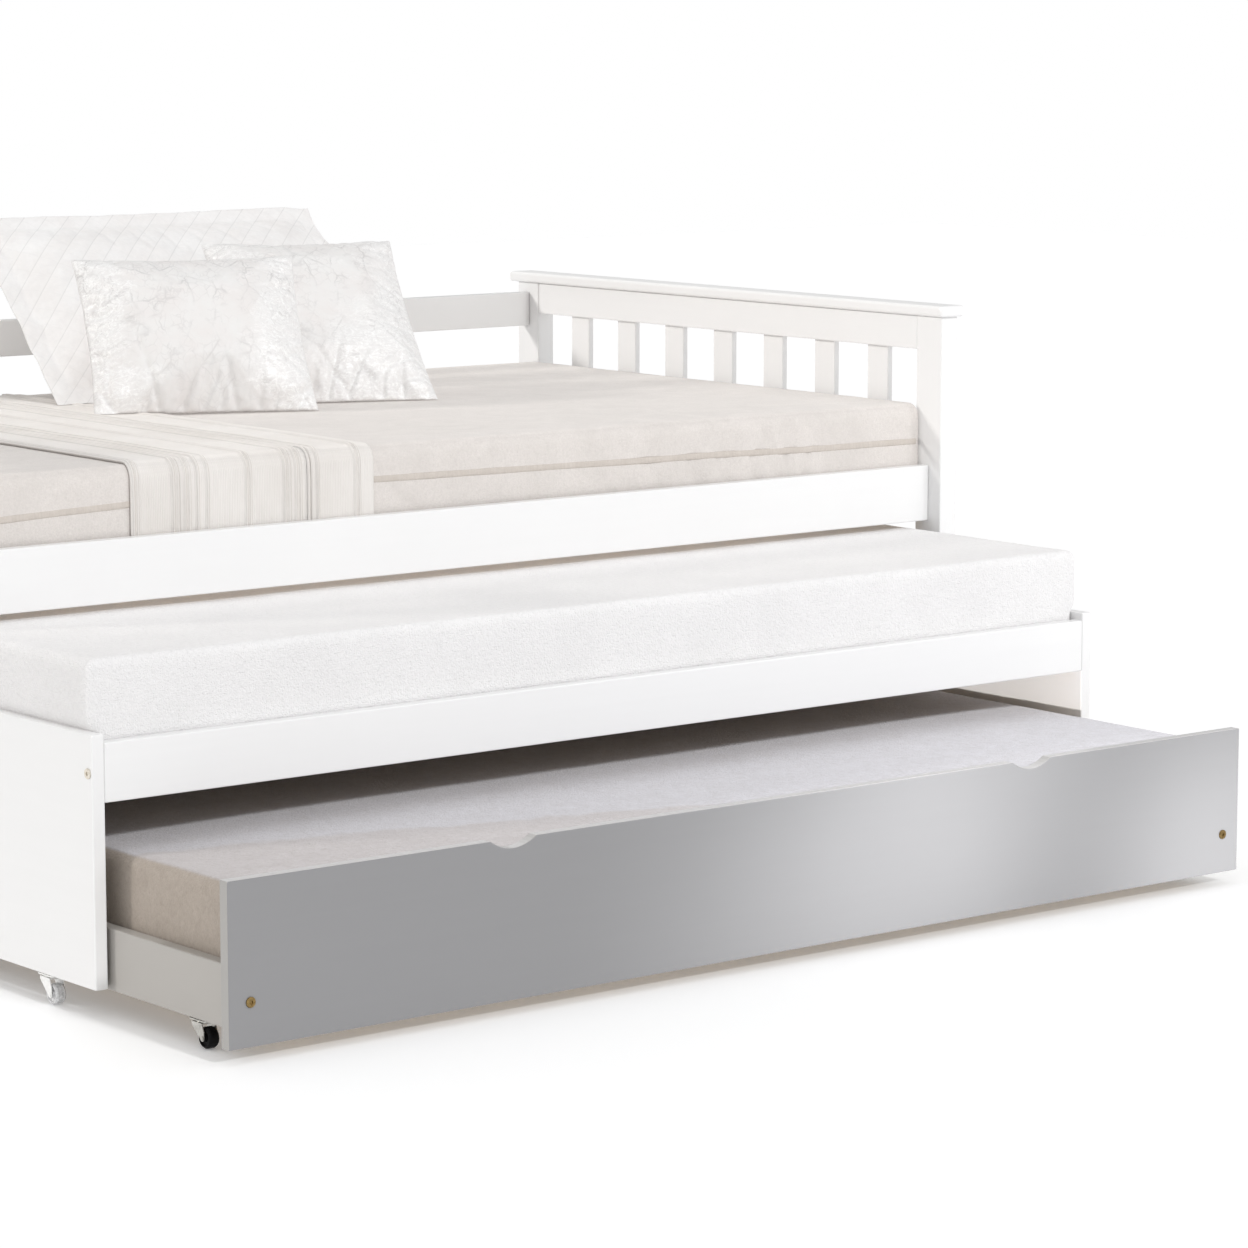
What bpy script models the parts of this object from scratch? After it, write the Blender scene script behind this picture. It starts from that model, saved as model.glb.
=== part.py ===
"""Three-tier trundle bed: a slatted daybed, a trundle that rolls out from under it, and a lower
trundle that rolls out from under the first.  Metres, +Z up, +X along the bed, -Y towards the side
the trundles pull out of.  The origin is on the floor, under the middle of the bed as it stands
with both trundles part way out."""
import math

import bmesh
import bpy
from mathutils import Matrix, Vector

# Frame: distances named *_FRONT and *_BACK run from the lower trundle's front face.
FRONT_TO_ORIGIN = 0.946
GAP = 0.0003             # left between pieces that touch
EASE = 0.002             # rounding of sawn and painted edges
TURNED_SIDES = 12        # sides of turned metal
WHEEL_SIDES = 16

# Daybed
INNER_HALF = 0.955       # half of the clear length between the end frames
POST_WIDE = 0.036
POST_DEEP = 0.062
POST_FRONT = 0.703
POST_BACK = 1.877
POST_TALL = 0.851
CAP_THICK = 0.019
CAP_OVERHANG = 0.009
CAP_BACK_OVERHANG = 0.017
TOP_RAIL_LOW = 0.794
FOOT_RAIL_LOW = 0.506
FOOT_RAIL_TALL = 0.060
END_RAIL_SETBACK = 0.001
SLATS = 7
SLAT_WIDE = 0.052
SLAT_THICK = 0.011
RAIL_THICK = 0.020
BED_RAIL_LOW = 0.506
BED_RAIL_HIGH = 0.600
BED_RAIL_FRONT = 0.732
BACK_RAIL_FRONT = 1.841
GUARD_LOW = 0.770
GUARD_HIGH = 0.833

# Middle trundle
MIDDLE_HALF = 0.946
MIDDLE_FRONT = 0.330
MIDDLE_DEEP = 1.100
MIDDLE_LOW = 0.0413
MIDDLE_HIGH = 0.395
BOARD_THICK = 0.020
MIDDLE_RAIL_LOW = 0.300
MIDDLE_RAIL_HIGH = 0.383

# Lower trundle
PANEL_HALF = 0.9475
PANEL_LOW = 0.0217
PANEL_HIGH = 0.2477
PANEL_THICK = 0.018
NOTCH_CENTRES = (0.497, -0.480)
NOTCH_HALF = 0.0395
NOTCH_DEEP = 0.0132
NOTCH_STEPS = 6
SIDE_HALF = 0.920
SIDE_LOW = 0.0383
SIDE_HIGH = 0.1255
LOWER_DEEP = 1.062

# Slatted bases under the mattresses
BEARER_WIDE = 0.030
BASE_SLATS = 14
BASE_SLAT_WIDE = 0.070
BASE_SLAT_THICK = 0.018

# Soft goods
BED_TOP = 0.6995
MIDDLE_TOP = 0.495
LOWER_TOP = 0.230
MATTRESS_ROUND = 0.022
THROW_LEFT = -0.612
THROW_RIGHT = -0.175
THROW_THICK = 0.0045
THROW_TUCK = 0.575       # height of the edge tucked behind the front rail
PILLOW_REST = 0.7055

# Casters
WHEEL_RADIUS = 0.015
WHEEL_WIDE = 0.016
AXLE_RADIUS = 0.002
BORE_RADIUS = 0.0024
TRAIL = 0.016            # from the swivel axis forward to the axle
PLATE_THICK = 0.0018
PLATE_LONG = 0.040
PLATE_WIDE = 0.0196
FORK_HALF = 0.011
ARM_THICK = 0.0014
BRIDGE_THICK = 0.0024
BOSS_TALL = 0.0010
PIN_RADIUS = 0.003
MIDDLE_CASTER_X = 0.936
LOWER_CASTER_X = 0.910
MIDDLE_SWIVELS = (0.466, 1.366)
LOWER_SWIVELS = (0.121, 1.010)

# Bolts
HEAD_RADIUS = 0.0075
HEAD_TALL = 0.0020
SOCKET_RADIUS = 0.0030
SOCKET_DEEP = 0.0014
SHANK_RADIUS = 0.003
SHANK_LONG = 0.032
BOLT_HOLE = 0.0033
PANEL_BOLT_HEIGHT = 0.0825
PANEL_BOLT_X = 0.913
MIDDLE_BOLT_HEIGHT = 0.3415

CELL_FACES = (
    ((-1, 0, 0), ((0, 0, 0), (0, 0, 1), (0, 1, 1), (0, 1, 0))),
    ((1, 0, 0), ((1, 0, 0), (1, 1, 0), (1, 1, 1), (1, 0, 1))),
    ((0, -1, 0), ((0, 0, 0), (1, 0, 0), (1, 0, 1), (0, 0, 1))),
    ((0, 1, 0), ((0, 1, 0), (0, 1, 1), (1, 1, 1), (1, 1, 0))),
    ((0, 0, -1), ((0, 0, 0), (0, 1, 0), (1, 1, 0), (1, 0, 0))),
    ((0, 0, 1), ((0, 0, 1), (1, 0, 1), (1, 1, 1), (0, 1, 1))),
)


def clear_scene():
    for item in list(bpy.data.objects):
        bpy.data.objects.remove(item, do_unlink=True)


def material(name, colour, roughness, metallic=0.0):
    """A plain Principled material."""
    made = bpy.data.materials.new(name)
    made.use_nodes = True
    shader = made.node_tree.nodes["Principled BSDF"]
    shader.inputs["Base Color"].default_value = (*colour, 1.0)
    shader.inputs["Roughness"].default_value = roughness
    shader.inputs["Metallic"].default_value = metallic
    return made


def at(front):
    """World Y of a distance behind the lower trundle's front face."""
    return front - FRONT_TO_ORIGIN


def add(name, mesh, look, place=(0, 0, 0)):
    """Put a mesh in the scene as one named object."""
    made = bpy.data.objects.new(name, mesh)
    bpy.context.scene.collection.objects.link(made)
    made.location = place
    if not mesh.materials:
        mesh.materials.append(look)
    return made


def to_mesh(name, shape):
    mesh = bpy.data.meshes.new(name)
    shape.to_mesh(mesh)
    shape.free()
    return mesh


def block_mesh(name, xs, ys, zs, filled):
    """Closed skin round the filled cells of a grid of boxes."""
    size = (len(xs) - 1, len(ys) - 1, len(zs) - 1)
    shape = bmesh.new()
    corners = {}

    def corner(key):
        if key not in corners:
            corners[key] = shape.verts.new((xs[key[0]], ys[key[1]], zs[key[2]]))
        return corners[key]

    def is_filled(cell):
        inside = all(0 <= c < n for c, n in zip(cell, size))
        return inside and filled(*cell)

    cells = [(i, j, k) for i in range(size[0]) for j in range(size[1]) for k in range(size[2])]
    for cell in filter(is_filled, cells):
        for step, quad in CELL_FACES:
            beside = tuple(c + s for c, s in zip(cell, step))
            if not is_filled(beside):
                keys = [tuple(c + q for c, q in zip(cell, point)) for point in quad]
                shape.faces.new([corner(key) for key in keys])
    return to_mesh(name, shape)


def bevel(item, width, segments=2):
    change = item.modifiers.new("eased_edges", "BEVEL")
    change.width = width
    change.segments = segments
    change.limit_method = "ANGLE"
    return item


def board(name, low, high, look, ease=EASE, segments=2):
    """A sawn board or a block between two corners, with eased edges."""
    centre = (Vector(low) + Vector(high)) / 2
    half = (Vector(high) - Vector(low)) / 2
    spans = [(-h, h) for h in half]
    mesh = block_mesh(name, *spans, lambda i, j, k: True)
    return bevel(add(name, mesh, look, centre), ease, segments)


def extruded_mesh(name, outline, depth):
    """A closed outline of (x, z) points, anticlockwise seen from -Y, extruded from y 0 to depth."""
    shape = bmesh.new()
    front = [shape.verts.new((x, 0, z)) for x, z in outline]
    back = [shape.verts.new((x, depth, z)) for x, z in outline]
    shape.faces.new(front)
    shape.faces.new(back[::-1])
    count = len(outline)
    for i in range(count):
        after = (i + 1) % count
        shape.faces.new((front[after], front[i], back[i], back[after]))
    return to_mesh(name, shape)


def turned_mesh(name, profile, sides=TURNED_SIDES, ring=False):
    """A profile of (radius, height) points turned about Z.  A ring's profile closes on itself; any
    other starts and ends on the axis.  The profile runs anticlockwise, radius to the right."""
    shape = bmesh.new()
    loops = []
    for radius, height in profile:
        if radius == 0:
            loops.append([shape.verts.new((0, 0, height))] * sides)
            continue
        turns = [2 * math.pi * k / sides for k in range(sides)]
        loops.append([shape.verts.new((radius * math.cos(a), radius * math.sin(a), height))
                      for a in turns])
    pairs = list(zip(loops, loops[1:]))
    if ring:
        pairs.append((loops[-1], loops[0]))
    for low, high in pairs:
        for k in range(sides):
            after = (k + 1) % sides
            corners = [low[k], low[after], high[after], high[k]]
            shape.faces.new(list(dict.fromkeys(corners)))
    mesh = to_mesh(name, shape)
    mesh.shade_smooth()
    mesh.set_sharp_from_angle(angle=math.radians(35))
    return mesh


def cylinder_mesh(name, radius, low, high):
    return turned_mesh(name, [(0, low), (radius, low), (radius, high), (0, high)])


def combined(name, base, others, operation):
    """The base mesh joined with, or cut by, other meshes given with their places."""
    made = bpy.data.objects.new(name, base)
    bpy.context.scene.collection.objects.link(made)
    tools = []
    for mesh, matrix in others:
        tool = bpy.data.objects.new(mesh.name, mesh)
        bpy.context.scene.collection.objects.link(tool)
        tool.matrix_world = matrix
        change = made.modifiers.new(operation.lower(), "BOOLEAN")
        change.operation = operation
        change.solver = "EXACT"
        change.object = tool
        tools.append(tool)
    bpy.context.view_layer.update()
    seen = made.evaluated_get(bpy.context.evaluated_depsgraph_get())
    result = bpy.data.meshes.new_from_object(seen)
    result.name = name
    for item in [made, *tools]:
        bpy.data.objects.remove(item, do_unlink=True)
    return result


def drill(item, radius, start, axis, length):
    """Cut a round hole in an object, from a world point along a world axis."""
    hole = cylinder_mesh(item.name + "_hole", radius, 0, length)
    cutter = bpy.data.objects.new(item.name + "_hole", hole)
    bpy.context.scene.collection.objects.link(cutter)
    turn = Vector((0, 0, 1)).rotation_difference(Vector(axis)).to_matrix().to_4x4()
    cutter.matrix_world = Matrix.Translation(start) @ turn
    cutter.hide_render = True
    cutter.display_type = "WIRE"
    change = item.modifiers.new("bolt_hole", "BOOLEAN")
    change.operation = "DIFFERENCE"
    change.solver = "EXACT"
    change.object = cutter


def spread(low, high, count, wide):
    """Low and high edges of equal bars spread with equal spaces between two ends."""
    space = (high - low - count * wide) / (count + 1)
    starts = [low + space + i * (wide + space) for i in range(count)]
    return [(start, start + wide) for start in starts]


def end_frame(side, looks):
    """Posts, cap, top rail and slat panel of one end; side is -1 for left and 1 for right."""
    word = "left" if side < 0 else "right"
    inner, outer = INNER_HALF, INNER_HALF + POST_WIDE

    def across(low, high):
        return sorted((side * low, side * high))

    x0, x1 = across(inner, outer)
    for place, front in (("front", POST_FRONT), ("back", POST_BACK - POST_DEEP)):
        board(f"{place}_{word}_post", (x0, at(front), 0),
              (x1, at(front + POST_DEEP), POST_TALL), looks["post"])
    c0, c1 = across(inner - CAP_OVERHANG, outer + CAP_OVERHANG)
    board(f"{word}_cap_rail", (c0, at(POST_FRONT - CAP_OVERHANG), POST_TALL + GAP),
          (c1, at(POST_BACK + CAP_BACK_OVERHANG), POST_TALL + CAP_THICK), looks["cap"], 0.005, 3)
    r0, r1 = across(inner + END_RAIL_SETBACK, outer - END_RAIL_SETBACK)
    y0, y1 = at(POST_FRONT + POST_DEEP + GAP), at(POST_BACK - POST_DEEP - GAP)
    board(f"{word}_top_rail", (r0, y0, TOP_RAIL_LOW), (r1, y1, POST_TALL - GAP), looks["rail"])
    slat_panel(word, r0, r1, y0, y1, looks["slat"])


def slat_panel(word, x0, x1, y0, y1, look):
    """The foot rail of an end frame with its slats standing in it, glued up as one panel."""
    middle = (x0 + x1) / 2
    xs = (x0, middle - SLAT_THICK / 2, middle + SLAT_THICK / 2, x1)
    ys = [y0]
    for low, high in spread(y0, y1, SLATS, SLAT_WIDE):
        ys += [low, high]
    ys.append(y1)
    zs = (FOOT_RAIL_LOW, FOOT_RAIL_LOW + FOOT_RAIL_TALL, TOP_RAIL_LOW - GAP)

    def filled(i, j, k):
        in_slat = j % 2 == 1 and i == 1
        return k == 0 or in_slat

    name = f"{word}_slat_panel"
    bevel(add(name, block_mesh(name, xs, ys, zs, filled), look), 0.001, 1)


def slatted_base(name, half, front, back, low, top, look):
    """Two long bearers with slats across them, screwed up as one unit."""
    xs = [-half]
    for start, end in spread(-half, half, BASE_SLATS, BASE_SLAT_WIDE):
        xs += [start, end]
    xs.append(half)
    ys = (at(front), at(front + BEARER_WIDE), at(back - BEARER_WIDE), at(back))
    zs = (low, top - BASE_SLAT_THICK, top)

    def filled(i, j, k):
        bearer = j != 1
        slat = i % 2 == 1
        return bearer if k == 0 else slat

    add(name, block_mesh(name, xs, ys, zs, filled), look)


def daybed(looks):
    for side in (-1, 1):
        end_frame(side, looks)
    half = INNER_HALF - GAP
    rails = (("daybed_front_rail", BED_RAIL_FRONT, BED_RAIL_LOW, BED_RAIL_HIGH),
             ("daybed_back_rail", BACK_RAIL_FRONT, BED_RAIL_LOW, BED_RAIL_HIGH),
             ("guard_rail", BACK_RAIL_FRONT, GUARD_LOW, GUARD_HIGH))
    for name, front, low, high in rails:
        board(name, (-half, at(front), low), (half, at(front + RAIL_THICK), high), looks["rail"])
    inside = (BED_RAIL_FRONT + RAIL_THICK + GAP, BACK_RAIL_FRONT - GAP)
    base_top = BED_RAIL_LOW + 0.044
    slatted_base("daybed_base", half, *inside, BED_RAIL_LOW + 0.002, base_top, looks["base"])
    mattress("daybed_mattress", INNER_HALF - 0.002, inside[0] + 0.0075, inside[1] - 0.004,
             base_top + GAP, BED_TOP, looks["cover"])


def mattress(name, half, front, back, low, top, look):
    board(name, (-half, at(front), low), (half, at(back), top), look, MATTRESS_ROUND, 3)


def trundle_panels(looks):
    """The middle trundle: two deep end panels with a rail at the front and the back."""
    back = MIDDLE_FRONT + MIDDLE_DEEP
    inner = MIDDLE_HALF - BOARD_THICK
    height = MIDDLE_BOLT_HEIGHT
    rail_middle = at(MIDDLE_FRONT + RAIL_THICK / 2)
    panels = {}
    for word, side in (("left", -1), ("right", 1)):
        x0, x1 = sorted((side * inner, side * MIDDLE_HALF))
        panels[word] = board(f"middle_{word}_panel", (x0, at(MIDDLE_FRONT), MIDDLE_LOW),
                             (x1, at(back), MIDDLE_HIGH), looks["board"])
    half = inner - GAP
    rails = {}
    for word, front in (("front", MIDDLE_FRONT), ("back", back - RAIL_THICK)):
        rails[word] = board(f"middle_{word}_rail", (-half, at(front), MIDDLE_RAIL_LOW),
                            (half, at(front + RAIL_THICK), MIDDLE_RAIL_HIGH), looks["rail"])
    for word, side in (("left", -1), ("right", 1)):
        seat = Vector((side * MIDDLE_HALF, rail_middle, height))
        outward = Vector((side, 0, 0))
        for item in (panels[word], rails["front"]):
            drill(item, BOLT_HOLE, seat + outward * 0.005, -outward, SHANK_LONG + 0.007)
        bolt(f"middle_{word}_bolt", seat, outward, looks["brass"])
    inside = (MIDDLE_FRONT + RAIL_THICK + GAP, back - RAIL_THICK - GAP)
    base_top = MIDDLE_RAIL_LOW + 0.040
    slatted_base("middle_base", half, *inside, MIDDLE_RAIL_LOW, base_top, looks["base"])
    mattress("middle_mattress", half - 0.001, inside[0] + 0.003, inside[1] - 0.003,
             base_top + GAP, MIDDLE_TOP, looks["towelling"])


def notch_points(centre):
    """Top edge of the front panel through one finger notch, a shallow bowl, from right to left."""
    points = []
    for i in range(2 * NOTCH_STEPS + 1):
        across = 1 - i / NOTCH_STEPS
        points.append((centre + NOTCH_HALF * across, PANEL_HIGH - NOTCH_DEEP * (1 - across * across)))
    return points


def lower_box(looks):
    """The lower trundle: a wide front panel on a box of two side rails and a back rail."""
    outline = [(-PANEL_HALF, PANEL_LOW), (PANEL_HALF, PANEL_LOW), (PANEL_HALF, PANEL_HIGH)]
    for centre in NOTCH_CENTRES:
        outline += notch_points(centre)
    outline.append((-PANEL_HALF, PANEL_HIGH))
    name = "lower_front_panel"
    mesh = extruded_mesh(name, outline, PANEL_THICK)
    panel = bevel(add(name, mesh, looks["panel"], (0, at(0), 0)), 0.0015)
    inner = SIDE_HALF - RAIL_THICK
    front, back = PANEL_THICK + GAP, PANEL_THICK + LOWER_DEEP
    for word, side in (("left", -1), ("right", 1)):
        x0, x1 = sorted((side * inner, side * SIDE_HALF))
        rail = board(f"lower_{word}_rail", (x0, at(front), SIDE_LOW),
                     (x1, at(back), SIDE_HIGH), looks["side"])
        seat = Vector((side * PANEL_BOLT_X, at(0), PANEL_BOLT_HEIGHT))
        for item in (panel, rail):
            drill(item, BOLT_HOLE, seat - Vector((0, 0.005, 0)), (0, 1, 0), SHANK_LONG + 0.007)
        bolt(f"lower_{word}_bolt", seat, Vector((0, -1, 0)), looks["brass"])
    half = inner - GAP
    board("lower_back_rail", (-half, at(back - RAIL_THICK), SIDE_LOW), (half, at(back), SIDE_HIGH),
          looks["side"])
    inside = (front, back - RAIL_THICK - GAP)
    slatted_base("lower_base", half, *inside, SIDE_LOW + 0.004, SIDE_LOW + 0.037, looks["base"])
    mattress("lower_mattress", half - 0.003, inside[0] + 0.003, inside[1] - 0.003,
             SIDE_LOW + 0.037 + GAP, LOWER_TOP, looks["fleece"])


def bolt(name, seat, outward, look):
    """A flat round-headed bolt with a hexagon socket; its head stands on the seat."""
    edge = 0.0005
    profile = [(0, -SHANK_LONG), (SHANK_RADIUS, -SHANK_LONG), (SHANK_RADIUS, GAP),
               (HEAD_RADIUS, GAP), (HEAD_RADIUS, HEAD_TALL - edge),
               (HEAD_RADIUS - edge, HEAD_TALL), (0, HEAD_TALL)]
    solid = turned_mesh(name, profile)
    shape = bmesh.new()
    bmesh.ops.create_cone(shape, cap_ends=True, segments=6, radius1=SOCKET_RADIUS,
                          radius2=SOCKET_RADIUS, depth=2 * SOCKET_DEEP)
    socket = to_mesh(name + "_socket", shape)
    mesh = combined(name, solid, [(socket, Matrix.Translation((0, 0, HEAD_TALL)))], "DIFFERENCE")
    made = add(name, mesh, look, seat)
    made.rotation_mode = "QUATERNION"
    made.rotation_quaternion = Vector((0, 0, 1)).rotation_difference(outward)


def fork_mesh(name, top):
    """A U-shaped caster fork about its swivel axis, with its axle; top is the fork's height."""
    axle = WHEEL_RADIUS
    bridge_high = top - BOSS_TALL
    bridge_low = bridge_high - BRIDGE_THICK
    toe = 0.0045
    drop = bridge_low - axle
    outline = [(-0.0092, bridge_high), (-0.0092, bridge_high - 0.004)]
    for k in range(6):
        angle = math.radians(-70 + 180 * k / 5)
        outline.append((TRAIL + toe * math.sin(angle), axle - toe * math.cos(angle)))
    outline += [(TRAIL + toe * 0.9, axle + drop * 0.5), (0.0150, bridge_high)]
    arm = extruded_mesh(name + "_arm", outline, ARM_THICK)
    quarter = Matrix.Rotation(-math.pi / 2, 4, "Z")
    bridge = block_mesh(name, (-FORK_HALF, FORK_HALF), (-0.0150, 0.0092),
                        (bridge_low, bridge_high), lambda i, j, k: True)
    boss = cylinder_mesh(name + "_boss", 0.0085, bridge_low + 0.001, top)
    pin = cylinder_mesh(name + "_pin", PIN_RADIUS, bridge_low + 0.001, top + PLATE_THICK * 0.8)
    rod_profile = [(0, -FORK_HALF - 0.001), (0.0032, -FORK_HALF - 0.001),
                   (0.0032, -FORK_HALF + 0.0007), (AXLE_RADIUS, -FORK_HALF + 0.0007),
                   (AXLE_RADIUS, FORK_HALF - 0.0007), (0.0032, FORK_HALF - 0.0007),
                   (0.0032, FORK_HALF + 0.001), (0, FORK_HALF + 0.001)]
    rod = turned_mesh(name + "_axle", rod_profile)
    lay = Matrix.Translation((0, -TRAIL, axle)) @ Matrix.Rotation(math.pi / 2, 4, "Y")
    parts = [(arm, Matrix.Translation((-FORK_HALF, 0, 0)) @ quarter),
             (arm.copy(), Matrix.Translation((FORK_HALF - ARM_THICK, 0, 0)) @ quarter),
             (boss, Matrix.Identity(4)), (pin, Matrix.Identity(4)), (rod, lay)]
    mesh = combined(name, bridge, parts, "UNION")
    mesh.set_sharp_from_angle(angle=math.radians(35))
    return mesh


def wheel_mesh():
    """A solid tread wheel about Z with rounded shoulders, a sunk web and a hub."""
    half, radius = WHEEL_WIDE / 2, WHEEL_RADIUS
    web = half - 0.0025
    profile = [(BORE_RADIUS, -half), (0.0050, -half), (0.0056, -web), (0.0108, -web),
               (0.0114, -half), (radius - 0.0020, -half), (radius, -half + 0.0030),
               (radius, half - 0.0030), (radius - 0.0020, half), (0.0114, half),
               (0.0108, web), (0.0056, web), (0.0050, half), (BORE_RADIUS, half)]
    return turned_mesh("caster_wheel", profile, WHEEL_SIDES, ring=True)


def plate_mesh(name, look):
    """A narrow caster plate with round ends and a hole for the fork's pin."""
    half, end = PLATE_WIDE / 2, PLATE_LONG / 2
    corner = 0.005
    centres = [(half - corner, end - corner), (corner - half, end - corner),
               (corner - half, corner - end), (half - corner, corner - end)]
    outline = []
    for quarter, (x, y) in enumerate(centres):
        for k in range(5):
            angle = math.radians(90 * quarter + 22.5 * k)
            outline.append((x + corner * math.cos(angle), y + corner * math.sin(angle)))
    flat = extruded_mesh(name, outline, PLATE_THICK)
    flat.transform(Matrix.Rotation(-math.pi / 2, 4, "X"))
    hole = cylinder_mesh(name + "_hole", PIN_RADIUS + 0.0003, -0.01, 0.01)
    return combined(name, flat, [(hole, Matrix.Identity(4))], "DIFFERENCE")


def casters(word, seat, x, swivels, looks, wheel):
    """Four casters of one trundle; seat is the height of the wood that they are screwed to."""
    plate = plate_mesh(f"{word}_caster_plate", looks["zinc"])
    top = seat - GAP - PLATE_THICK - GAP
    fork = fork_mesh(f"{word}_caster_fork", top)
    for place, front in zip(("front", "back"), swivels):
        for hand, side in (("left", -1), ("right", 1)):
            name = f"{word}_{place}_{hand}"
            axis = (side * x, at(front), 0)
            add(name + "_plate", plate, looks["zinc"], (axis[0], axis[1], seat - GAP))
            add(name + "_fork", fork, looks["zinc"], axis)
            hub = (axis[0], axis[1] - TRAIL, WHEEL_RADIUS)
            made = add(name + "_wheel", wheel, looks["tread"], hub)
            made.rotation_euler = (0, math.pi / 2, 0)


def throw(look):
    """A folded throw across the mattress, tucked down between its front face and the rail."""
    face = BED_RAIL_FRONT + RAIL_THICK + 0.0078
    skin = 0.0015
    reach = MATTRESS_ROUND + skin
    bend = (face + MATTRESS_ROUND, BED_TOP - MATTRESS_ROUND)
    back = 1.800
    inner, outer = [(face - skin, THROW_TUCK)], [(face - skin - THROW_THICK, THROW_TUCK)]
    for k in range(9):
        angle = math.pi - k / 8 * math.pi / 2
        for side, radius in ((inner, reach), (outer, reach + THROW_THICK)):
            side.append((bend[0] + radius * math.cos(angle), bend[1] + radius * math.sin(angle)))
    inner.append((back, BED_TOP + skin))
    outer.append((back, BED_TOP + skin + THROW_THICK))
    outline = inner + outer[::-1]
    mesh = extruded_mesh("throw", outline, THROW_RIGHT - THROW_LEFT)
    mesh.transform(Matrix.Rotation(math.pi / 2, 4, "Z"))
    add("throw", mesh, look, (THROW_RIGHT, at(0), 0))


def pillow(name, spot, turn, lean, wide, tall, thick, look):
    """A soft pillow that stands on its long edge and leans back; its underside is pressed flat."""
    around, steps = 12, 8
    along = Vector((math.cos(turn), math.sin(turn), 0))
    away = Vector((-math.sin(turn), math.cos(turn), 0))
    up = away * math.cos(lean) + Vector((0, 0, 1)) * math.sin(lean)
    face = along.cross(up)
    shape = bmesh.new()
    rims, layers = {}, []
    for side in (1, -1):
        grid = []
        for i in range(around + 1):
            row = []
            for j in range(steps + 1):
                u, v = 2 * i / around - 1, 2 * j / steps - 1
                rim = abs(u) == 1 or abs(v) == 1
                if rim and (i, j) in rims:
                    row.append(rims[i, j])
                    continue
                swell = math.sqrt((1 - u ** 4) * (1 - v ** 4))
                pinch = 1 - 0.05 * (1 - (u * v) ** 2)
                point = Vector((spot[0], at(spot[1]), PILLOW_REST))
                point += along * (u * pinch * wide / 2) + up * ((v * pinch + 1) * tall / 2)
                point += face * (side * swell * thick / 2)
                point.z = max(point.z, PILLOW_REST)
                row.append(shape.verts.new(point))
                if rim:
                    rims[i, j] = row[-1]
            grid.append(row)
        layers.append((side, grid))
    for side, grid in layers:
        for i in range(around):
            for j in range(steps):
                quad = [grid[i][j], grid[i + 1][j], grid[i + 1][j + 1], grid[i][j + 1]]
                shape.faces.new(quad if side > 0 else quad[::-1])
    mesh = to_mesh(name, shape)
    mesh.shade_smooth()
    add(name, mesh, look)


def main():
    clear_scene()
    white, warm, grey = (0.86, 0.86, 0.85), (0.70, 0.68, 0.66), (0.62, 0.63, 0.64)
    looks = {
        "post": material("post_paint", white, 0.38),
        "cap": material("cap_paint", white, 0.35),
        "rail": material("rail_paint", white, 0.38),
        "slat": material("slat_paint", white, 0.40),
        "board": material("end_panel_paint", white, 0.38),
        "panel": material("front_panel_paint", grey, 0.35),
        "side": material("side_rail_paint", warm, 0.45),
        "base": material("slat_wood", (0.72, 0.58, 0.40), 0.6),
        "cover": material("velvet_cover", (0.80, 0.76, 0.72), 0.9),
        "towelling": material("white_towelling", (0.86, 0.85, 0.84), 0.95),
        "fleece": material("beige_fleece", (0.66, 0.60, 0.55), 0.95),
        "zinc": material("zinc_steel", (0.62, 0.61, 0.58), 0.35, 1.0),
        "tread": material("black_tread", (0.03, 0.03, 0.03), 0.5),
        "brass": material("bolt_brass", (0.62, 0.46, 0.22), 0.35, 1.0),
    }
    daybed(looks)
    trundle_panels(looks)
    lower_box(looks)
    wheel = wheel_mesh()
    casters("middle", MIDDLE_LOW, MIDDLE_CASTER_X, MIDDLE_SWIVELS, looks, wheel)
    casters("lower", SIDE_LOW, LOWER_CASTER_X, LOWER_SWIVELS, looks, wheel)
    throw(material("ribbed_throw", (0.84, 0.80, 0.73), 0.95))
    foil = material("crackle_foil", (0.82, 0.81, 0.80), 0.5)
    pillow("left_cushion", (-0.102, 1.329), math.radians(-20.6), math.radians(54.5),
           0.379, 0.308, 0.100, foil)
    pillow("right_cushion", (0.183, 1.353), math.radians(-19.4), math.radians(41.3),
           0.341, 0.391, 0.100, foil)
    quilted = material("quilted_cotton", (0.84, 0.83, 0.81), 0.9)
    pillow("quilted_sham", (0.119, 1.573), 0.0, math.radians(45.1), 0.722, 0.432, 0.115, quilted)


main()
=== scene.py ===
"""Looks of the three-tier trundle bed: painted woodwork, covered mattresses, three cushions, a
folded throw, bolts and casters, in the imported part's own frame (metres, +Z up, the trundles roll
towards -Y)."""

import math

import bpy
import numpy as np
from mathutils import Matrix, Vector, noise
from mathutils.bvhtree import BVHTree


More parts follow.
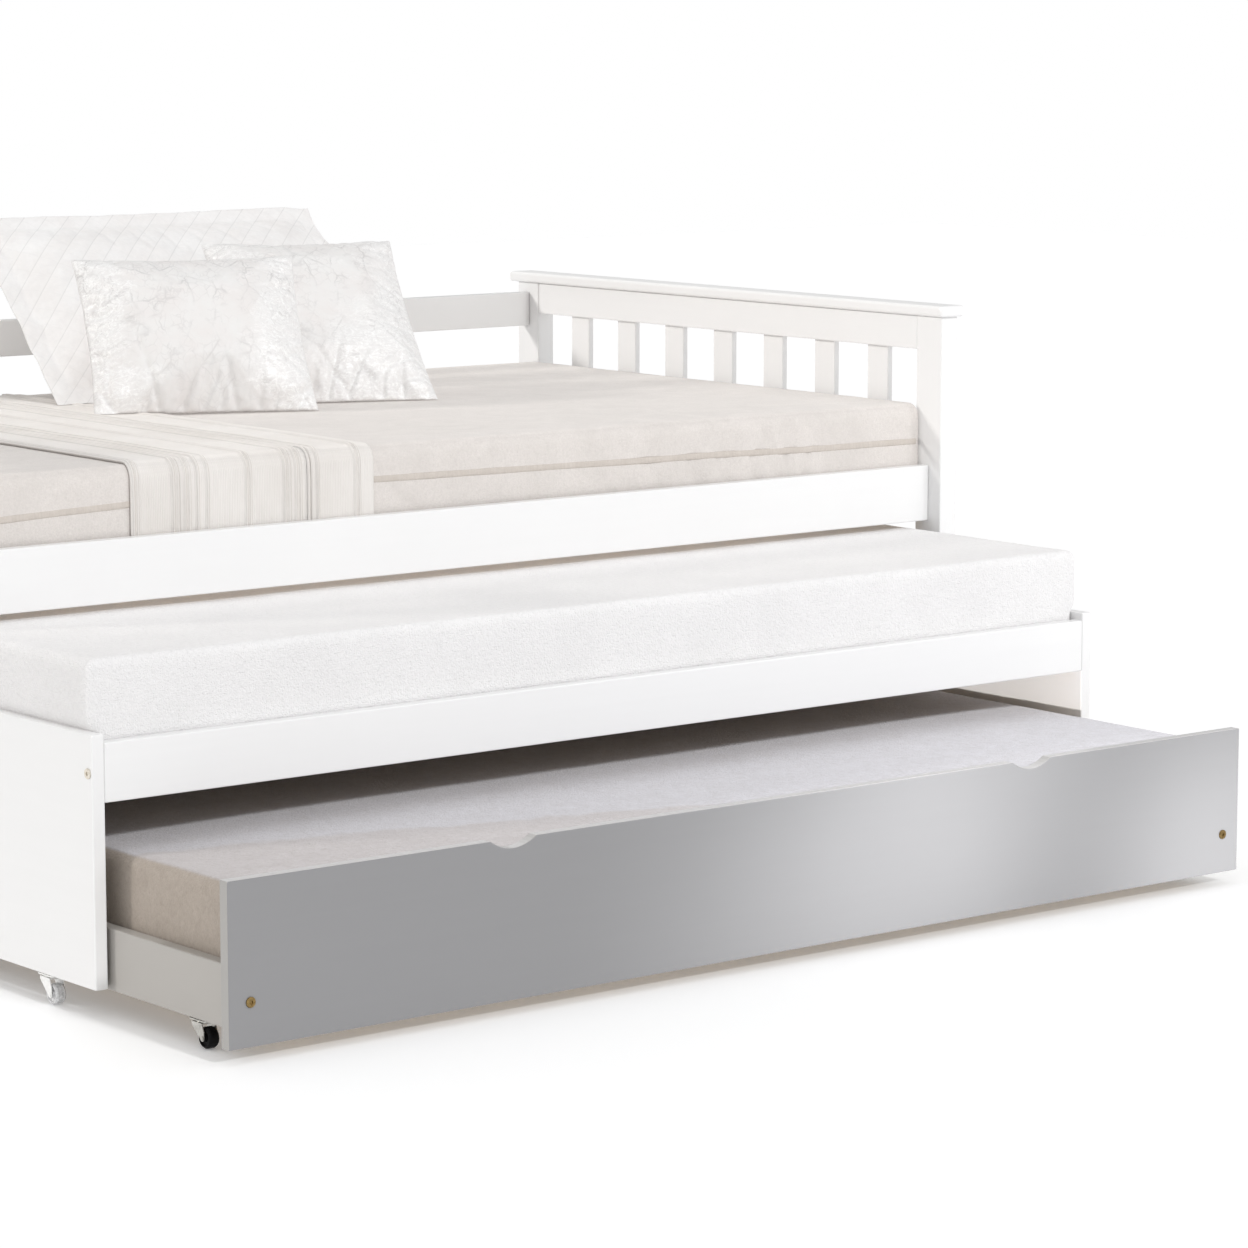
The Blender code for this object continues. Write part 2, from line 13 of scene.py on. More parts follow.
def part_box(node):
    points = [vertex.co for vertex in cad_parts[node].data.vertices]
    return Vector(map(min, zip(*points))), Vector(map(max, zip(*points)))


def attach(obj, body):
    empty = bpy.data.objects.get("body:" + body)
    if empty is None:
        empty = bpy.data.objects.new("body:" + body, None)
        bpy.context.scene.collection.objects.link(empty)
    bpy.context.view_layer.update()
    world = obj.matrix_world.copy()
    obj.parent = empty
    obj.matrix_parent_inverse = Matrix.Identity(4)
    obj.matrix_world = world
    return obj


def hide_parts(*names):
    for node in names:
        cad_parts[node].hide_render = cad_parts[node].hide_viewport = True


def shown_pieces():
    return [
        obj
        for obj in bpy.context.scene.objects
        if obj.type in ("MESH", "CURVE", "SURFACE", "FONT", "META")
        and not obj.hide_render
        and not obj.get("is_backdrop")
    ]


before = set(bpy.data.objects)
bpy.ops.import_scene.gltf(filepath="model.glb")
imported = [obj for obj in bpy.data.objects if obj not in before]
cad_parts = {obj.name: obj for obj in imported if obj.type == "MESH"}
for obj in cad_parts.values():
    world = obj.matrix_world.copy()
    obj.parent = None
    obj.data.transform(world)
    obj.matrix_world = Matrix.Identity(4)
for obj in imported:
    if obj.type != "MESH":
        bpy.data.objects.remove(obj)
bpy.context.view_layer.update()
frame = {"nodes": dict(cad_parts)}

# Camera
CAMERA_PLACE = (-3.9708, -5.5595, 1.3879)
CAMERA_YAW = 38.60         # from +Y towards +X
CAMERA_DOWN = 8.3115
CAMERA_LENS = 124.48       # on a 36 mm sensor

# Light
AMBIENT = 0.58
FRONT_POWER = 1.14
LEFT_POWER = 0.78
INNER_POWER = 0.55         # extra light from the left on the right end frame
TOP_POWER = 0.34
FAR_RAIL_POWER = 0.45
COVER_FILL = 0.06          # extra light on the middle mattress
UNDER_POWER = 2.5          # light on the middle mattress under the daybed
FLOOR_GLOW = 0.19          # keeps the floor as pale as the backdrop
FROM_FRONT = (0.0, -1.0)   # (x, y) directions from the bed towards its distant lamps
FROM_LEFT = (-0.928, 0.373)
COOL = (0.985, 0.99, 1.0)
WARM = (1.0, 0.965, 0.925)
FAR_RAILS = ("guard_rail", "daybed_back_rail")
FAR_PIECES = (*FAR_RAILS, "back_left_post", "back_right_post")
RIGHT_END = ("front_right_post", "back_right_post", "right_top_rail", "right_cap_rail",
             "right_slat_panel")
LAMP_OVER_COVER = 0.012    # height of the opening's lamp above the lower mattress

# Pools of light on the front panel: (x, z, power)
PANEL_GLOWS = ((-0.01, 0.07, 20.0), (0.22, 0.13, 37.0), (0.42, 0.23, 38.0), (0.93, 0.03, 68.0))
GLOW_OFFSET = (-0.25, -1.1, 0.15)   # from the middle of a pool to its lamp

# Mattresses and covers
SKIN_STEP = 0.012          # size of a cover's mesh cells
CORNER_STEPS = 4           # cells from a flat face into each rounded edge
WALL_SHARPNESS = 40        # how tightly what moves a wall keeps to that wall
BED_TOP = 0.7035           # of the daybed mattress's cover
SEAM_HEIGHT = 0.650        # of the flat seam round the upper mattress, at the middle
SEAM_SLOPE = 0.012         # rise per metre towards the left, where the cover is twisted
SEAM_DROP = 0.045          # fall per metre further left, beyond the throw
SEAM_TURN = -0.35
SEAM_HALF_TALL = 0.0054
SEAM_PROUD = 0.0016
FULLER_FRONT = 0.0045      # of the daybed mattress's front wall at its right end
FULLER_FROM = 0.25         # x at which it begins to come forward
FULLER_OVER = 0.55         # length over which it does
TAPE_DIP = 0.4             # share of a fold's depth that the seam's tape follows
LOWER_COVER_TOP = 0.226    # of the lower mattress's cover at the left and in the middle

# Creases down the daybed mattress's front wall: (x, width, depth)
BED_FOLDS = ((0.47, 0.012, 0.0040), (0.53, 0.009, 0.0035), (0.60, 0.008, 0.0050),
             (0.66, 0.010, 0.0055), (0.705, 0.007, 0.0040), (0.38, 0.014, 0.0025))

# Painted light on the lower mattress: a strip along its front is tinted as lit, where the rest of its top
# is tinted as painted shade. The strip's width at X = 0, how much wider it is per metre to the left, and
# its tint
LIT_FRONT_STRIP = (0.063, 0.26, (1.12, 1.20, 1.38))

# Throw
THROW_CLEAR = 0.0007       # from the mattress's cover to the underside of the throw
LAYER_PITCH = 0.0012       # from one folded layer to the next
LAYER_THICK = 0.0010
THROW_BEND = 0.022         # radius of its turn over the mattress's edge
THROW_BACK = 0.854         # world Y of its back end
THROW_TUCK = 0.575         # height of the edge behind the rail
RIB_REPEAT = 0.1985        # width of the pattern of ribs, and where its ribs are
RIB_OFFSETS = (-0.0035, 0.0035, 0.066, 0.074, 0.086, 0.094, 0.109, 0.126)
RIB_START = 0.0075         # from the throw's left edge to the middle of its first pair of ribs
RIB_HALF = 0.0028
RIB_TALL = 0.0026
RIB_SHADOW_HALF = 0.0013        # half the width of the painted shadow line beside each rib
RIB_SHADOW_DARK = 0.75

# Cushions
QUILT_PITCH = 0.045        # across, between rows of stitches
QUILT_BEND = (0.004, 17.0) # how far the rows wander, and how quickly
PILLOW_REST = 0.7058       # height that the cushions stand at
THROW_RISE = 0.0040        # how much higher they stand on the throw
UNBLOWN = 0.84             # share of its thickness that a pillow starts with
SIM_FRAMES = 20


def node_box(name):
    low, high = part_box(name)
    return np.array(low), np.array(high)


def add_object(name, data):
    made = bpy.data.objects.new(name, data)
    bpy.context.scene.collection.objects.link(made)
    return made


def eased(share):
    """0 to 1 as the share goes from 0 to 1, with a soft start and end."""
    share = np.clip(share, 0, 1)
    return share ** 2 * (3 - 2 * share)


# ---- materials

class Look:
    """A Principled material with the nodes that feed it. Textures use the object's own metres."""

    def __init__(self, name, roughness, **values):
        self.material = bpy.data.materials.new(name)
        self.material.use_nodes = True
        self.tree = self.material.node_tree
        self.shader = self.tree.nodes["Principled BSDF"]
        self.shader.inputs["Roughness"].default_value = roughness
        for socket, value in values.items():
            self.shader.inputs[socket.replace("_", " ")].default_value = value
        self.place = self.tree.nodes.new("ShaderNodeTexCoord").outputs["Object"]
        self.normal = None

    def node(self, kind, inputs, **settings):
        made = self.tree.nodes.new(kind)
        for key, value in settings.items():
            setattr(made, key, value)
        for key, value in inputs.items():
            if isinstance(value, bpy.types.NodeSocket):
                self.tree.links.new(value, made.inputs[key])
            else:
                made.inputs[key].default_value = value
        return made

    def facing(self):
        """The surface's own direction."""
        return self.node("ShaderNodeNewGeometry", {}).outputs["Normal"]

    def scaled(self, scale, turn=(0, 0, 0), source=None):
        """The object's own place, scaled on each axis; a low scale stretches a texture."""
        made = self.node("ShaderNodeMapping", {"Vector": source or self.place, "Scale": scale,
                                               "Rotation": turn})
        return made.outputs["Vector"]

    def cloud(self, scale, detail=3.0, rough=0.5, distortion=0.0, source=None):
        made = self.node("ShaderNodeTexNoise", {"Vector": source or self.place, "Scale": scale,
                                                "Detail": detail, "Roughness": rough,
                                                "Distortion": distortion})
        return made.outputs["Fac"]

    def cells(self, scale, feature="F1", source=None, **inputs):
        made = self.node("ShaderNodeTexVoronoi", {"Vector": source or self.place, "Scale": scale,
                                                  **inputs}, feature=feature)
        return made.outputs["Distance"]

    def fit(self, value, low, high, to_low=0.0, to_high=1.0, kind="LINEAR"):
        made = self.node("ShaderNodeMapRange", {"Value": value, "From Min": low, "From Max": high,
                                                "To Min": to_low, "To Max": to_high},
                         interpolation_type=kind)
        return made.outputs["Result"]

    def math(self, operation, a, b=0.0):
        made = self.node("ShaderNodeMath", {0: a, 1: b}, operation=operation)
        return made.outputs["Value"]

    def plus(self, a, b):
        return self.math("ADD", a, b)

    def times(self, a, b):
        return self.math("MULTIPLY", a, b)

    def mix(self, share, a, b, blend="MIX"):
        a, b = ((*colour, 1.0) if isinstance(colour, tuple) else colour for colour in (a, b))
        made = self.node("ShaderNodeMix", {"Factor": share, "A": a, "B": b}, data_type="RGBA",
                         blend_type=blend)
        return made.outputs["Result"]

    def axes(self, vector=None):
        """The X, Y and Z of a vector, which is the object's own place where none is given."""
        return self.node("ShaderNodeSeparateXYZ", {"Vector": vector or self.place}).outputs

    def painted_top_light(self, colour, tint):
        """The colour multiplied by a tint where the surface faces up, which paints light or shade on top
        faces.
        """
        up = self.fit(self.axes(self.facing())["Z"], 0.75, 0.97)
        return self.mix(up, colour, tint, "MULTIPLY")

    def lit_strip(self, top, front, wide, widening, lit_strip_top):
        """The painted shade tint top, but the painted light tint lit_strip_top on a strip behind the
        world Y of the front.
        """
        place = self.axes()
        edge = self.math("SUBTRACT", front + wide, self.times(place["X"], widening))
        ragged = self.fit(self.cloud(14.0, 3.0, 0.6), 0.3, 0.7, -0.012, 0.012)
        behind = self.math("SUBTRACT", self.plus(place["Y"], ragged), edge)
        share = self.fit(behind, -0.012, 0.012, 1.0, 0.0, "SMOOTHSTEP")
        return self.mix(share, top, lit_strip_top)

    def bump(self, height, depth, strength=1.0):
        """Adds relief of that depth in metres on top of any relief already there."""
        inputs = {"Height": height, "Distance": depth, "Strength": strength}
        if self.normal:
            inputs["Normal"] = self.normal
        self.normal = self.node("ShaderNodeBump", inputs).outputs["Normal"]

    def done(self, colour, roughness=None, metallic=None):
        link = self.tree.links.new
        link(colour, self.shader.inputs["Base Color"])
        if roughness:
            link(roughness, self.shader.inputs["Roughness"])
        if metallic:
            link(metallic, self.shader.inputs["Metallic"])
        if self.normal:
            link(self.normal, self.shader.inputs["Normal"])
        return self.material


def shaded(colour, share):
    return tuple(c * share for c in colour)


def paint(name, colour, along, roughness=0.34, unevenness=0.03, edges=None):
    """Sprayed satin paint over pine: faint grain along the board, soft unevenness and stipple.
    edges is the colour of the faces that don't look along Y: painted light on those faces, with a further
    painted highlight on the top faces."""
    look = Look(name, roughness, Coat_Weight=0.15, Coat_Roughness=0.25)
    across = [55.0, 55.0, 55.0]
    across[along] = 2.2
    grain = look.cloud(1.0, 5.0, 0.6, 0.6, look.scaled(across))
    broad = look.cloud(2.6, 3.0, 0.5)
    stipple = look.cloud(620.0, 2.0)
    shade = look.plus(look.times(grain, 0.35), look.times(broad, 0.65))
    share = look.fit(shade, 0.2, 0.8, kind="SMOOTHSTEP")
    colour_out = look.mix(share, shaded(colour, 1 - unevenness), colour)
    if edges:
        # Painted light: the faces that don't look along Y get the lighter edges colour, and the top faces
        # a painted highlight.
        along_y = look.math("ABSOLUTE", look.axes(look.facing())["Y"])
        colour_out = look.mix(look.fit(along_y, 0.5, 0.8, 1.0, 0.0), colour_out, edges)
        colour_out = look.painted_top_light(colour_out, (1.5, 1.52, 1.58))
    look.bump(grain, 0.0004, 0.2)
    look.bump(stipple, 0.0002, 0.2)
    gloss = look.fit(broad, 0.2, 0.8, roughness - 0.03, roughness + 0.03, "SMOOTHSTEP")
    return look.done(colour_out, gloss)


def pine(name):
    """Planed pine: growth rings drawn out along the slats, with a few darker streaks."""
    look = Look(name, 0.6)
    stretched = look.scaled((60.0, 3.0, 60.0))
    rings = look.cloud(1.0, 6.0, 0.6, 1.2, stretched)
    streaks = look.cloud(0.4, 2.0, 0.5, 0.0, stretched)
    colour = look.mix(look.fit(rings, 0.35, 0.65), (0.52, 0.37, 0.21), (0.72, 0.57, 0.38))
    colour = look.mix(look.fit(streaks, 0.55, 0.75, 0.0, 0.35), colour, (0.42, 0.28, 0.15))
    look.bump(rings, 0.0006, 0.5)
    return look.done(colour)


def pile(name, colour, dark, nap_scale, fibre_scale, fibre_depth, sheen, mottle=0.35, top=None,
         hang=0.5, lit_strip=None):
    """A short pile fabric: patches of nap lying different ways, mottling and fine fibres, with a soft
    sheen.
    top multiplies the colour where the cover faces up, as painted light or shade on the top. hang is how
    much the pile is drawn out up and down. lit_strip gives a strip along the front with its own painted
    top light: its width at X = 0, how much it widens per metre to the left, and its own top."""
    look = Look(name, 0.92, Sheen_Weight=sheen, Sheen_Roughness=0.45, Specular_IOR_Level=0.2)
    nap = look.cloud(nap_scale, 4.0, 0.62, 1.4)
    mottling = look.cloud(130.0, 3.0, 0.65)
    fibres = look.cloud(fibre_scale, 2.0, 0.7)
    shade = look.plus(look.times(nap, 1 - mottle), look.times(mottling, mottle))
    base = look.mix(look.fit(shade, 0.38, 0.62), dark, colour)
    base = look.mix(look.fit(mottling, 0.5, 0.72, 0.0, 0.45), base, shaded(dark, 0.88))
    base = look.mix(look.fit(fibres, 0.35, 0.65, 0.0, 0.5), base, shaded(dark, 0.92))
    hanging = look.cloud(1.0, 2.0, 0.6, 0.0, look.scaled((380.0, 380.0, 50.0)))
    base = look.mix(look.fit(hanging, 0.42, 0.62, 0.0, hang), base, shaded(dark, 0.92))
    # Painted light and shade on the top faces, with a painted lit strip along the front where one is
    # given.
    if top:
        base = look.painted_top_light(base, look.lit_strip(top, *lit_strip) if lit_strip else top)
    look.bump(mottling, 0.0020, 0.6)
    look.bump(fibres, fibre_depth, 0.8)
    return look.done(base)


def towelling(name, colour, dark):
    """Terry: rows of small loops over a soft, slightly uneven ground."""
    look = Look(name, 0.95, Sheen_Weight=0.25, Sheen_Roughness=0.5, Specular_IOR_Level=0.15)
    wandering = look.cloud(6.0, 3.0, 0.6)
    loops = look.cells(330.0, Randomness=0.75)
    tufts = look.cloud(150.0, 4.0, 0.65)
    base = look.mix(look.fit(wandering, 0.35, 0.65), dark, colour)
    base = look.mix(look.fit(tufts, 0.5, 0.72, 0.0, 0.6), base, shaded(dark, 0.9))
    base = look.mix(look.fit(loops, 0.2, 0.8, 0.0, 0.3), base, shaded(dark, 0.9))
    look.bump(tufts, 0.0022, 0.8)
    look.bump(loops, 0.0012, 0.8)
    return look.done(base)


def ribbed(name, colour, dark, pitch, first):
    """Plain weave, a little slubbed, with a painted brown shadow line beside each rib. first is the X
    where the ribs start."""
    look = Look(name, 0.9, Sheen_Weight=0.2, Sheen_Roughness=0.5, Specular_IOR_Level=0.2)
    slub = look.cloud(1.0, 3.0, 0.6, 0.0, look.scaled((400.0, 22.0, 22.0)))
    wander = look.cloud(9.0, 3.0, 0.5)
    threads = []
    for axis in ("X", "Y"):
        wave = look.node("ShaderNodeTexWave", {"Vector": look.place, "Scale": 1 / pitch / 6.0,
                                               "Distortion": 0.4, "Detail": 1.0},
                         wave_type="BANDS", bands_direction=axis)
        threads.append(wave.outputs["Fac"])
    cloth = look.times(threads[0], threads[1])
    base = look.mix(look.fit(wander, 0.35, 0.65), dark, colour)
    base = look.mix(look.fit(slub, 0.4, 0.7, 0.0, 0.4), base, shaded(dark, 0.95))
    base = look.mix(look.fit(cloth, 0.0, 0.5, 0.25, 0.0), base, shaded(dark, 0.85))
    along = look.math("SUBTRACT", look.axes()["X"], first)
    turn = look.math("FRACT", look.math("DIVIDE", along, RIB_REPEAT))
    stitches_and_rib_shadows = look.node("ShaderNodeValToRGB", {"Fac": turn})
    rib_shadow_stops(stitches_and_rib_shadows.color_ramp)
    # Painted shadow: a brown line beside each rib.
    base = look.mix(stitches_and_rib_shadows.outputs["Color"], base, (0.40, 0.33, 0.27))
    # Painted light: the throw's top faces are made lighter.
    base = look.painted_top_light(base, (1.20, 1.20, 1.20))
    look.bump(slub, 0.0008, 0.5)
    look.bump(cloth, 0.0006, 0.7)
    return look.done(base)


def rib_shadow_stops(ramp):
    """The mask of the painted shadow lines: white at the edges of each rib in one repeat, black
    elsewhere.
    """
    stops = []
    for offset in RIB_OFFSETS:
        edge = (offset + RIB_HALF) / RIB_REPEAT % 1.0
        wide = RIB_SHADOW_HALF / RIB_REPEAT
        stops += [(edge - wide, 0.0), (edge, RIB_SHADOW_DARK), (edge + wide, 0.0)]
    for _ in range(len(stops) - len(ramp.elements)):
        ramp.elements.new(0.5)
    for element, (place, value) in zip(ramp.elements, sorted(stops)):
        element.position = place
        element.color = (value, value, value, 1.0)


def crackle(name, half_wide, half_tall, low_foil):
    """Satin printed with a crackled foil: a faint net of veins, drawn out from top to bottom, and
    crinkled white foil at the sides, whose bright white flecks are partly the foil's print and partly
    painted glints. low_foil is how much foil the lower half has as well."""
    look = Look(name, 0.5, Sheen_Weight=0.15)
    drift = look.cloud(16.0, 3.0, 0.6)
    ragged = look.cloud(70.0, 3.0, 0.6)
    offset = look.plus(look.times(drift, 0.03), look.times(ragged, 0.010))
    net = look.node("ShaderNodeVectorMath", {0: look.place, 1: offset}, operation="ADD").outputs[0]
    big = look.cells(27.0, "DISTANCE_TO_EDGE", look.scaled((1.0, 0.6, 1.0), source=net))
    small = look.cells(75.0, "DISTANCE_TO_EDGE", look.scaled((1.0, 0.7, 1.0), source=net))
    veins = look.math("MAXIMUM", look.fit(big, 0.0, 0.05, 1.0, 0.0), look.fit(small, 0.0, 0.08, 0.6, 0.0))
    place = look.axes()
    upper = look.fit(place["Y"], -half_tall, half_tall * 0.8, 0.35, 1.0)
    veins = look.times(veins, look.fit(look.cloud(24.0, 3.0, 0.6), 0.40, 0.6))
    veins = look.times(veins, upper)
    patch = look.cloud(12.0, 3.0, 0.6, 0.6)
    wander = look.fit(patch, 0.3, 0.7, -0.3, 0.3)
    side = look.math("ABSOLUTE", look.math("DIVIDE", place["X"], half_wide))
    side = look.fit(look.plus(side, wander), 0.46, 0.78)
    low = look.math("DIVIDE", look.math("SUBTRACT", place["X"], place["Y"]), half_tall)
    low = look.fit(look.plus(low, wander), 0.1, 0.8, 0.0, low_foil)
    foil = look.math("MAXIMUM", side, low)
    crumbs = look.fit(look.cloud(300.0, 3.0, 0.7), 0.42, 0.56, 0.25, 1.0)
    flecks = look.cloud(75.0, 4.0, 0.7, 1.8, look.scaled((0.7, 1.5, 1.0), (0.0, 0.0, 0.35)))
    creases = look.cells(48.0, "DISTANCE_TO_EDGE", look.scaled((0.8, 1.6, 1.0), source=net))
    creases = look.fit(creases, 0.0, 0.09, 0.8, 0.0)
    # The white flecks are partly the foil's print and partly painted glints.
    sparkle = look.times(crumbs, look.math("MAXIMUM", look.fit(flecks, 0.505, 0.585), creases))
    foil_and_painted_glints = look.times(foil, sparkle)
    crinkle = look.cloud(64.0, 5.0, 0.7, 1.6)
    weave = look.cloud(900.0, 2.0)
    base = look.mix(look.fit(drift, 0.35, 0.65), (0.78, 0.755, 0.742), (0.80, 0.792, 0.782))
    base = look.mix(look.times(foil, 0.6), base, (0.88, 0.87, 0.865))
    base = look.mix(look.times(veins, 0.5), base, (0.40, 0.385, 0.385))
    base = look.mix(foil_and_painted_glints, base, (1.0, 1.0, 0.99))
    look.bump(look.times(crinkle, look.fit(foil, 0.0, 1.0, 0.15, 1.0)), 0.005, 0.45)
    look.bump(veins, -0.0005, 0.6)
    look.bump(weave, 0.0002, 0.3)
    rough = look.fit(foil, 0.0, 1.0, 0.55, 0.30)
    return look.done(base, rough, look.times(foil_and_painted_glints, 0.15))


def stitch_line(look, slant):
    """1 on a slanting row of stitches and 0 between rows, as in quilt_relief()."""
    place = look.axes()
    wave = look.math("SINE", look.times(place["Y"], QUILT_BEND[1]))
    bend = look.times(wave, QUILT_BEND[0])
    slanting = look.times(place["Y"], slant)
    across = look.plus(look.plus(place["X"], bend), slanting)
    turn = look.math("SINE", look.times(across, math.pi / QUILT_PITCH))
    return look.fit(look.math("ABSOLUTE", turn), 0.0, 0.13, 1.0, 0.0)


def quilted(name):
    """Washed cotton over wadding, stitched in slanting rows, with a fine puckered weave."""
    look = Look(name, 0.85, Sheen_Weight=0.2, Sheen_Roughness=0.5, Specular_IOR_Level=0.2)
    wander = look.cloud(11.0, 4.0, 0.6)
    pucker = look.cloud(95.0, 3.0, 0.6, 0.5)
    weave = look.cloud(800.0, 2.0)
    rows = stitch_line(look, -1.0)
    cross = look.times(stitch_line(look, 1.0), 0.2)
    stitches_and_rib_shadows = look.math("MAXIMUM", rows, cross)
    base = look.mix(look.fit(wander, 0.35, 0.65), (0.83, 0.808, 0.795), (0.87, 0.862, 0.855))
    base = look.mix(look.fit(pucker, 0.35, 0.7, 0.0, 0.12), base, (0.60, 0.59, 0.59))
    base = look.mix(look.times(stitches_and_rib_shadows, 0.28), base, (0.42, 0.415, 0.41))
    look.bump(pucker, 0.0016, 0.5)
    look.bump(weave, 0.0002, 0.4)
    return look.done(base)


def metal(name, colour, dark, roughness, scale):
    """Cast or plated metal, a little tarnished."""
    look = Look(name, roughness, Metallic=1.0)
    tarnish = look.cloud(scale, 4.0, 0.65)
    scratches = look.cloud(scale * 6, 3.0, 0.7)
    base = look.mix(look.fit(tarnish, 0.35, 0.65), dark, colour)
    look.bump(scratches, 0.0001, 0.4)
    return look.done(base, look.fit(tarnish, 0.3, 0.7, roughness + 0.14, roughness - 0.04))


def rubber(name, colour):
    look = Look(name, 0.5, Specular_IOR_Level=0.12)
    dust = look.cloud(210.0, 4.0, 0.6)
    base = look.mix(look.fit(dust, 0.4, 0.75), colour, shaded(colour, 1.8))
    look.bump(dust, 0.0002, 0.5)
    return look.done(base, look.fit(dust, 0.3, 0.7, 0.35, 0.6))


# ---- meshes

def made_from(name, points, faces):
    mesh = bpy.data.meshes.new(name)
    mesh.from_pydata([tuple(p) for p in points], [], faces)
    mesh.shade_smooth()
    return mesh


def place_piece(name, mesh, look, body, slot, *nodes, matrix=None):
    """Puts a finished mesh in the scene, riding on a body and standing for CAD nodes."""
    made = add_object(name, mesh)
    if matrix:
        made.matrix_world = matrix
    mesh.materials.clear()
    mesh.materials.append(look)
    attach(made, body)
    if nodes:
        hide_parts(*nodes)
    return made


def marks(low, high, radius):
    """Places along one side of a box, close together near its rounded ends."""
    near = [radius * (k / CORNER_STEPS) for k in range(CORNER_STEPS)]
    count = max(2, round((high - low - 2 * radius) / SKIN_STEP))
    middle = list(np.linspace(low + radius, high - radius, count + 1))
    return [low + n for n in near] + middle + [high - n for n in reversed(near)]


def box_skin(low, high, radius):
    """Points and quads of a box's skin; its edges are rounded by a radius along each axis."""
    radius = np.array(radius)
    sides = [marks(l, h, r) for l, h, r in zip(low, high, radius)]
    last = [len(s) - 1 for s in sides]
    index, points, faces = {}, [], []

    def corner(key):
        if key not in index:
            index[key] = len(points)
            points.append([sides[a][key[a]] for a in range(3)])
        return index[key]

    for axis in range(3):
        u, v = (axis + 1) % 3, (axis + 2) % 3
        for end in (0, last[axis]):
            for i in range(last[u]):
                for j in range(last[v]):
                    keys = []
                    for a, b in ((i, j), (i + 1, j), (i + 1, j + 1), (i, j + 1)):
                        key = [0, 0, 0]
                        key[axis], key[u], key[v] = end, a, b
                        keys.append(corner(tuple(key)))
                    faces.append(keys if end else keys[::-1])
    points = np.array(points)
    inner = np.clip(points, np.array(low) + radius, np.array(high) - radius)
    out = (points - inner) / radius
    length = np.linalg.norm(out, axis=1, keepdims=True)
    points = inner + out / np.maximum(length, 1e-9) * radius
    return points, faces


def wobble(points, scale, seed, depth):
    """Smooth noise between -depth and depth at each point."""
    shift = Vector((seed * 7.3, seed * 3.1, seed * 5.7))
    return depth * np.array([noise.noise(Vector(p) * scale + shift) for p in points])


def band(name, path, half_tall, proud):
    """A flat tape round a closed path of points, with a softly rounded face."""
    path = np.array(path)
    ahead = np.roll(path, -1, axis=0) - np.roll(path, 1, axis=0)
    ahead /= np.linalg.norm(ahead, axis=1, keepdims=True)
    out = np.cross(ahead, np.array([0.0, 0.0, 1.0]))
    out /= np.linalg.norm(out, axis=1, keepdims=True)
    section = [(0.0, -1.0), (0.75, -0.85), (1.0, -0.3), (1.0, 0.3), (0.75, 0.85), (0.0, 1.0),
               (-1.0, 0.0)]
    points, faces = [], []
    for p, o in zip(path, out):
        for away, rise in section:
            points.append(p + o * away * proud + np.array([0.0, 0.0, rise * half_tall]))
    count, sides = len(path), len(section)
    for i in range(count):
        n = (i + 1) % count
        for k in range(sides):
            m = (k + 1) % sides
            faces.append((i * sides + k, i * sides + m, n * sides + m, n * sides + k))
    return made_from(name, points, faces)


def rounded_loop(low, high, radius, step=0.01):
    """Points (x, y) anticlockwise round a rectangle with rounded corners."""
    loop = []
    centres = ((high[0] - radius, high[1] - radius), (low[0] + radius, high[1] - radius),
               (low[0] + radius, low[1] + radius), (high[0] - radius, low[1] + radius))
    for quarter, (x, y) in enumerate(centres):
        for k in range(7):
            a = math.radians(90 * quarter + 15 * k)
            loop.append((x + radius * math.cos(a), y + radius * math.sin(a)))
        x2, y2 = centres[(quarter + 1) % 4]
        a = math.radians(90 * quarter + 90)
        start = np.array(loop[-1])
        end = np.array((x2 + radius * math.cos(a), y2 + radius * math.sin(a)))
        count = max(1, round(np.linalg.norm(end - start) / step))
        loop += [tuple(start + (end - start) * k / count) for k in range(1, count)]
    return loop


# ---- mattresses

def mattress(name, node, look, body, slot, radius, top=None, bulge=0.002, crown=0.0015, seed=1,
             spread=(), folds=(), uneven=0.0016, rise=0.0):
    """A foam mattress in a fitted cover: faintly crowned, its walls a little full and uneven.
    spread is (height, amount): above that height the ends stand out by the amount.
    folds are (x, width, depth) creases down the front wall. rise is how much fuller the right
    end is."""
    low, high = node_box(node)
    if top:
        high[2] = top
    points, faces = box_skin(low, high, radius)
    centre, half = (low + high) / 2, (high - low) / 2
    share = (points - centre) / half
    fullness = 1 - np.clip(share, -1, 1) ** 4
    moved = points.copy()
    lift = np.clip(share[:, 2], 0, 1) ** 8 * fullness[:, 0] * fullness[:, 1]
    moved[:, 2] += crown * lift
    moved[:, 2] += rise * eased(share[:, 0]) * np.clip(share[:, 2], 0, 1)
    walls = np.sign(share[:, :2]) * np.abs(share[:, :2]) ** WALL_SHARPNESS
    moved[:, :2] += walls * bulge * fullness[:, 2:]
    if spread:
        above = np.clip((points[:, 2] - spread[0]) / 0.010, 0, 1)
        moved[:, 0] += walls[:, 0] * above * spread[1]
    soft = wobble(points, 5.0, seed, 1.0) * 0.6 + wobble(points, 17.0, seed + 1, 1.0) * 0.4
    moved[:, 2] += uneven * soft * (share[:, 2] > 0.9)
    front_wall = np.clip(-share[:, 1] - 0.97, 0, 0.02) / 0.02
    moved[:, 1] += 0.0012 * soft * front_wall * fullness[:, 2]
    if folds:
        dip = fold_dip(points[:, 0], points[:, 2], folds) * np.clip(fullness[:, 2], 0, 1)
        moved[:, 1] += (dip - fuller_front(points[:, 0])) * front_wall
        near_front = (share[:, 2] > 0.8) * np.clip(1 - (points[:, 1] - low[1]) / 0.15, 0, 1)
        moved[:, 2] -= 0.6 * dip * near_front
    made = place_piece(name, made_from(name, moved, faces), look, body, slot, node)
    return made


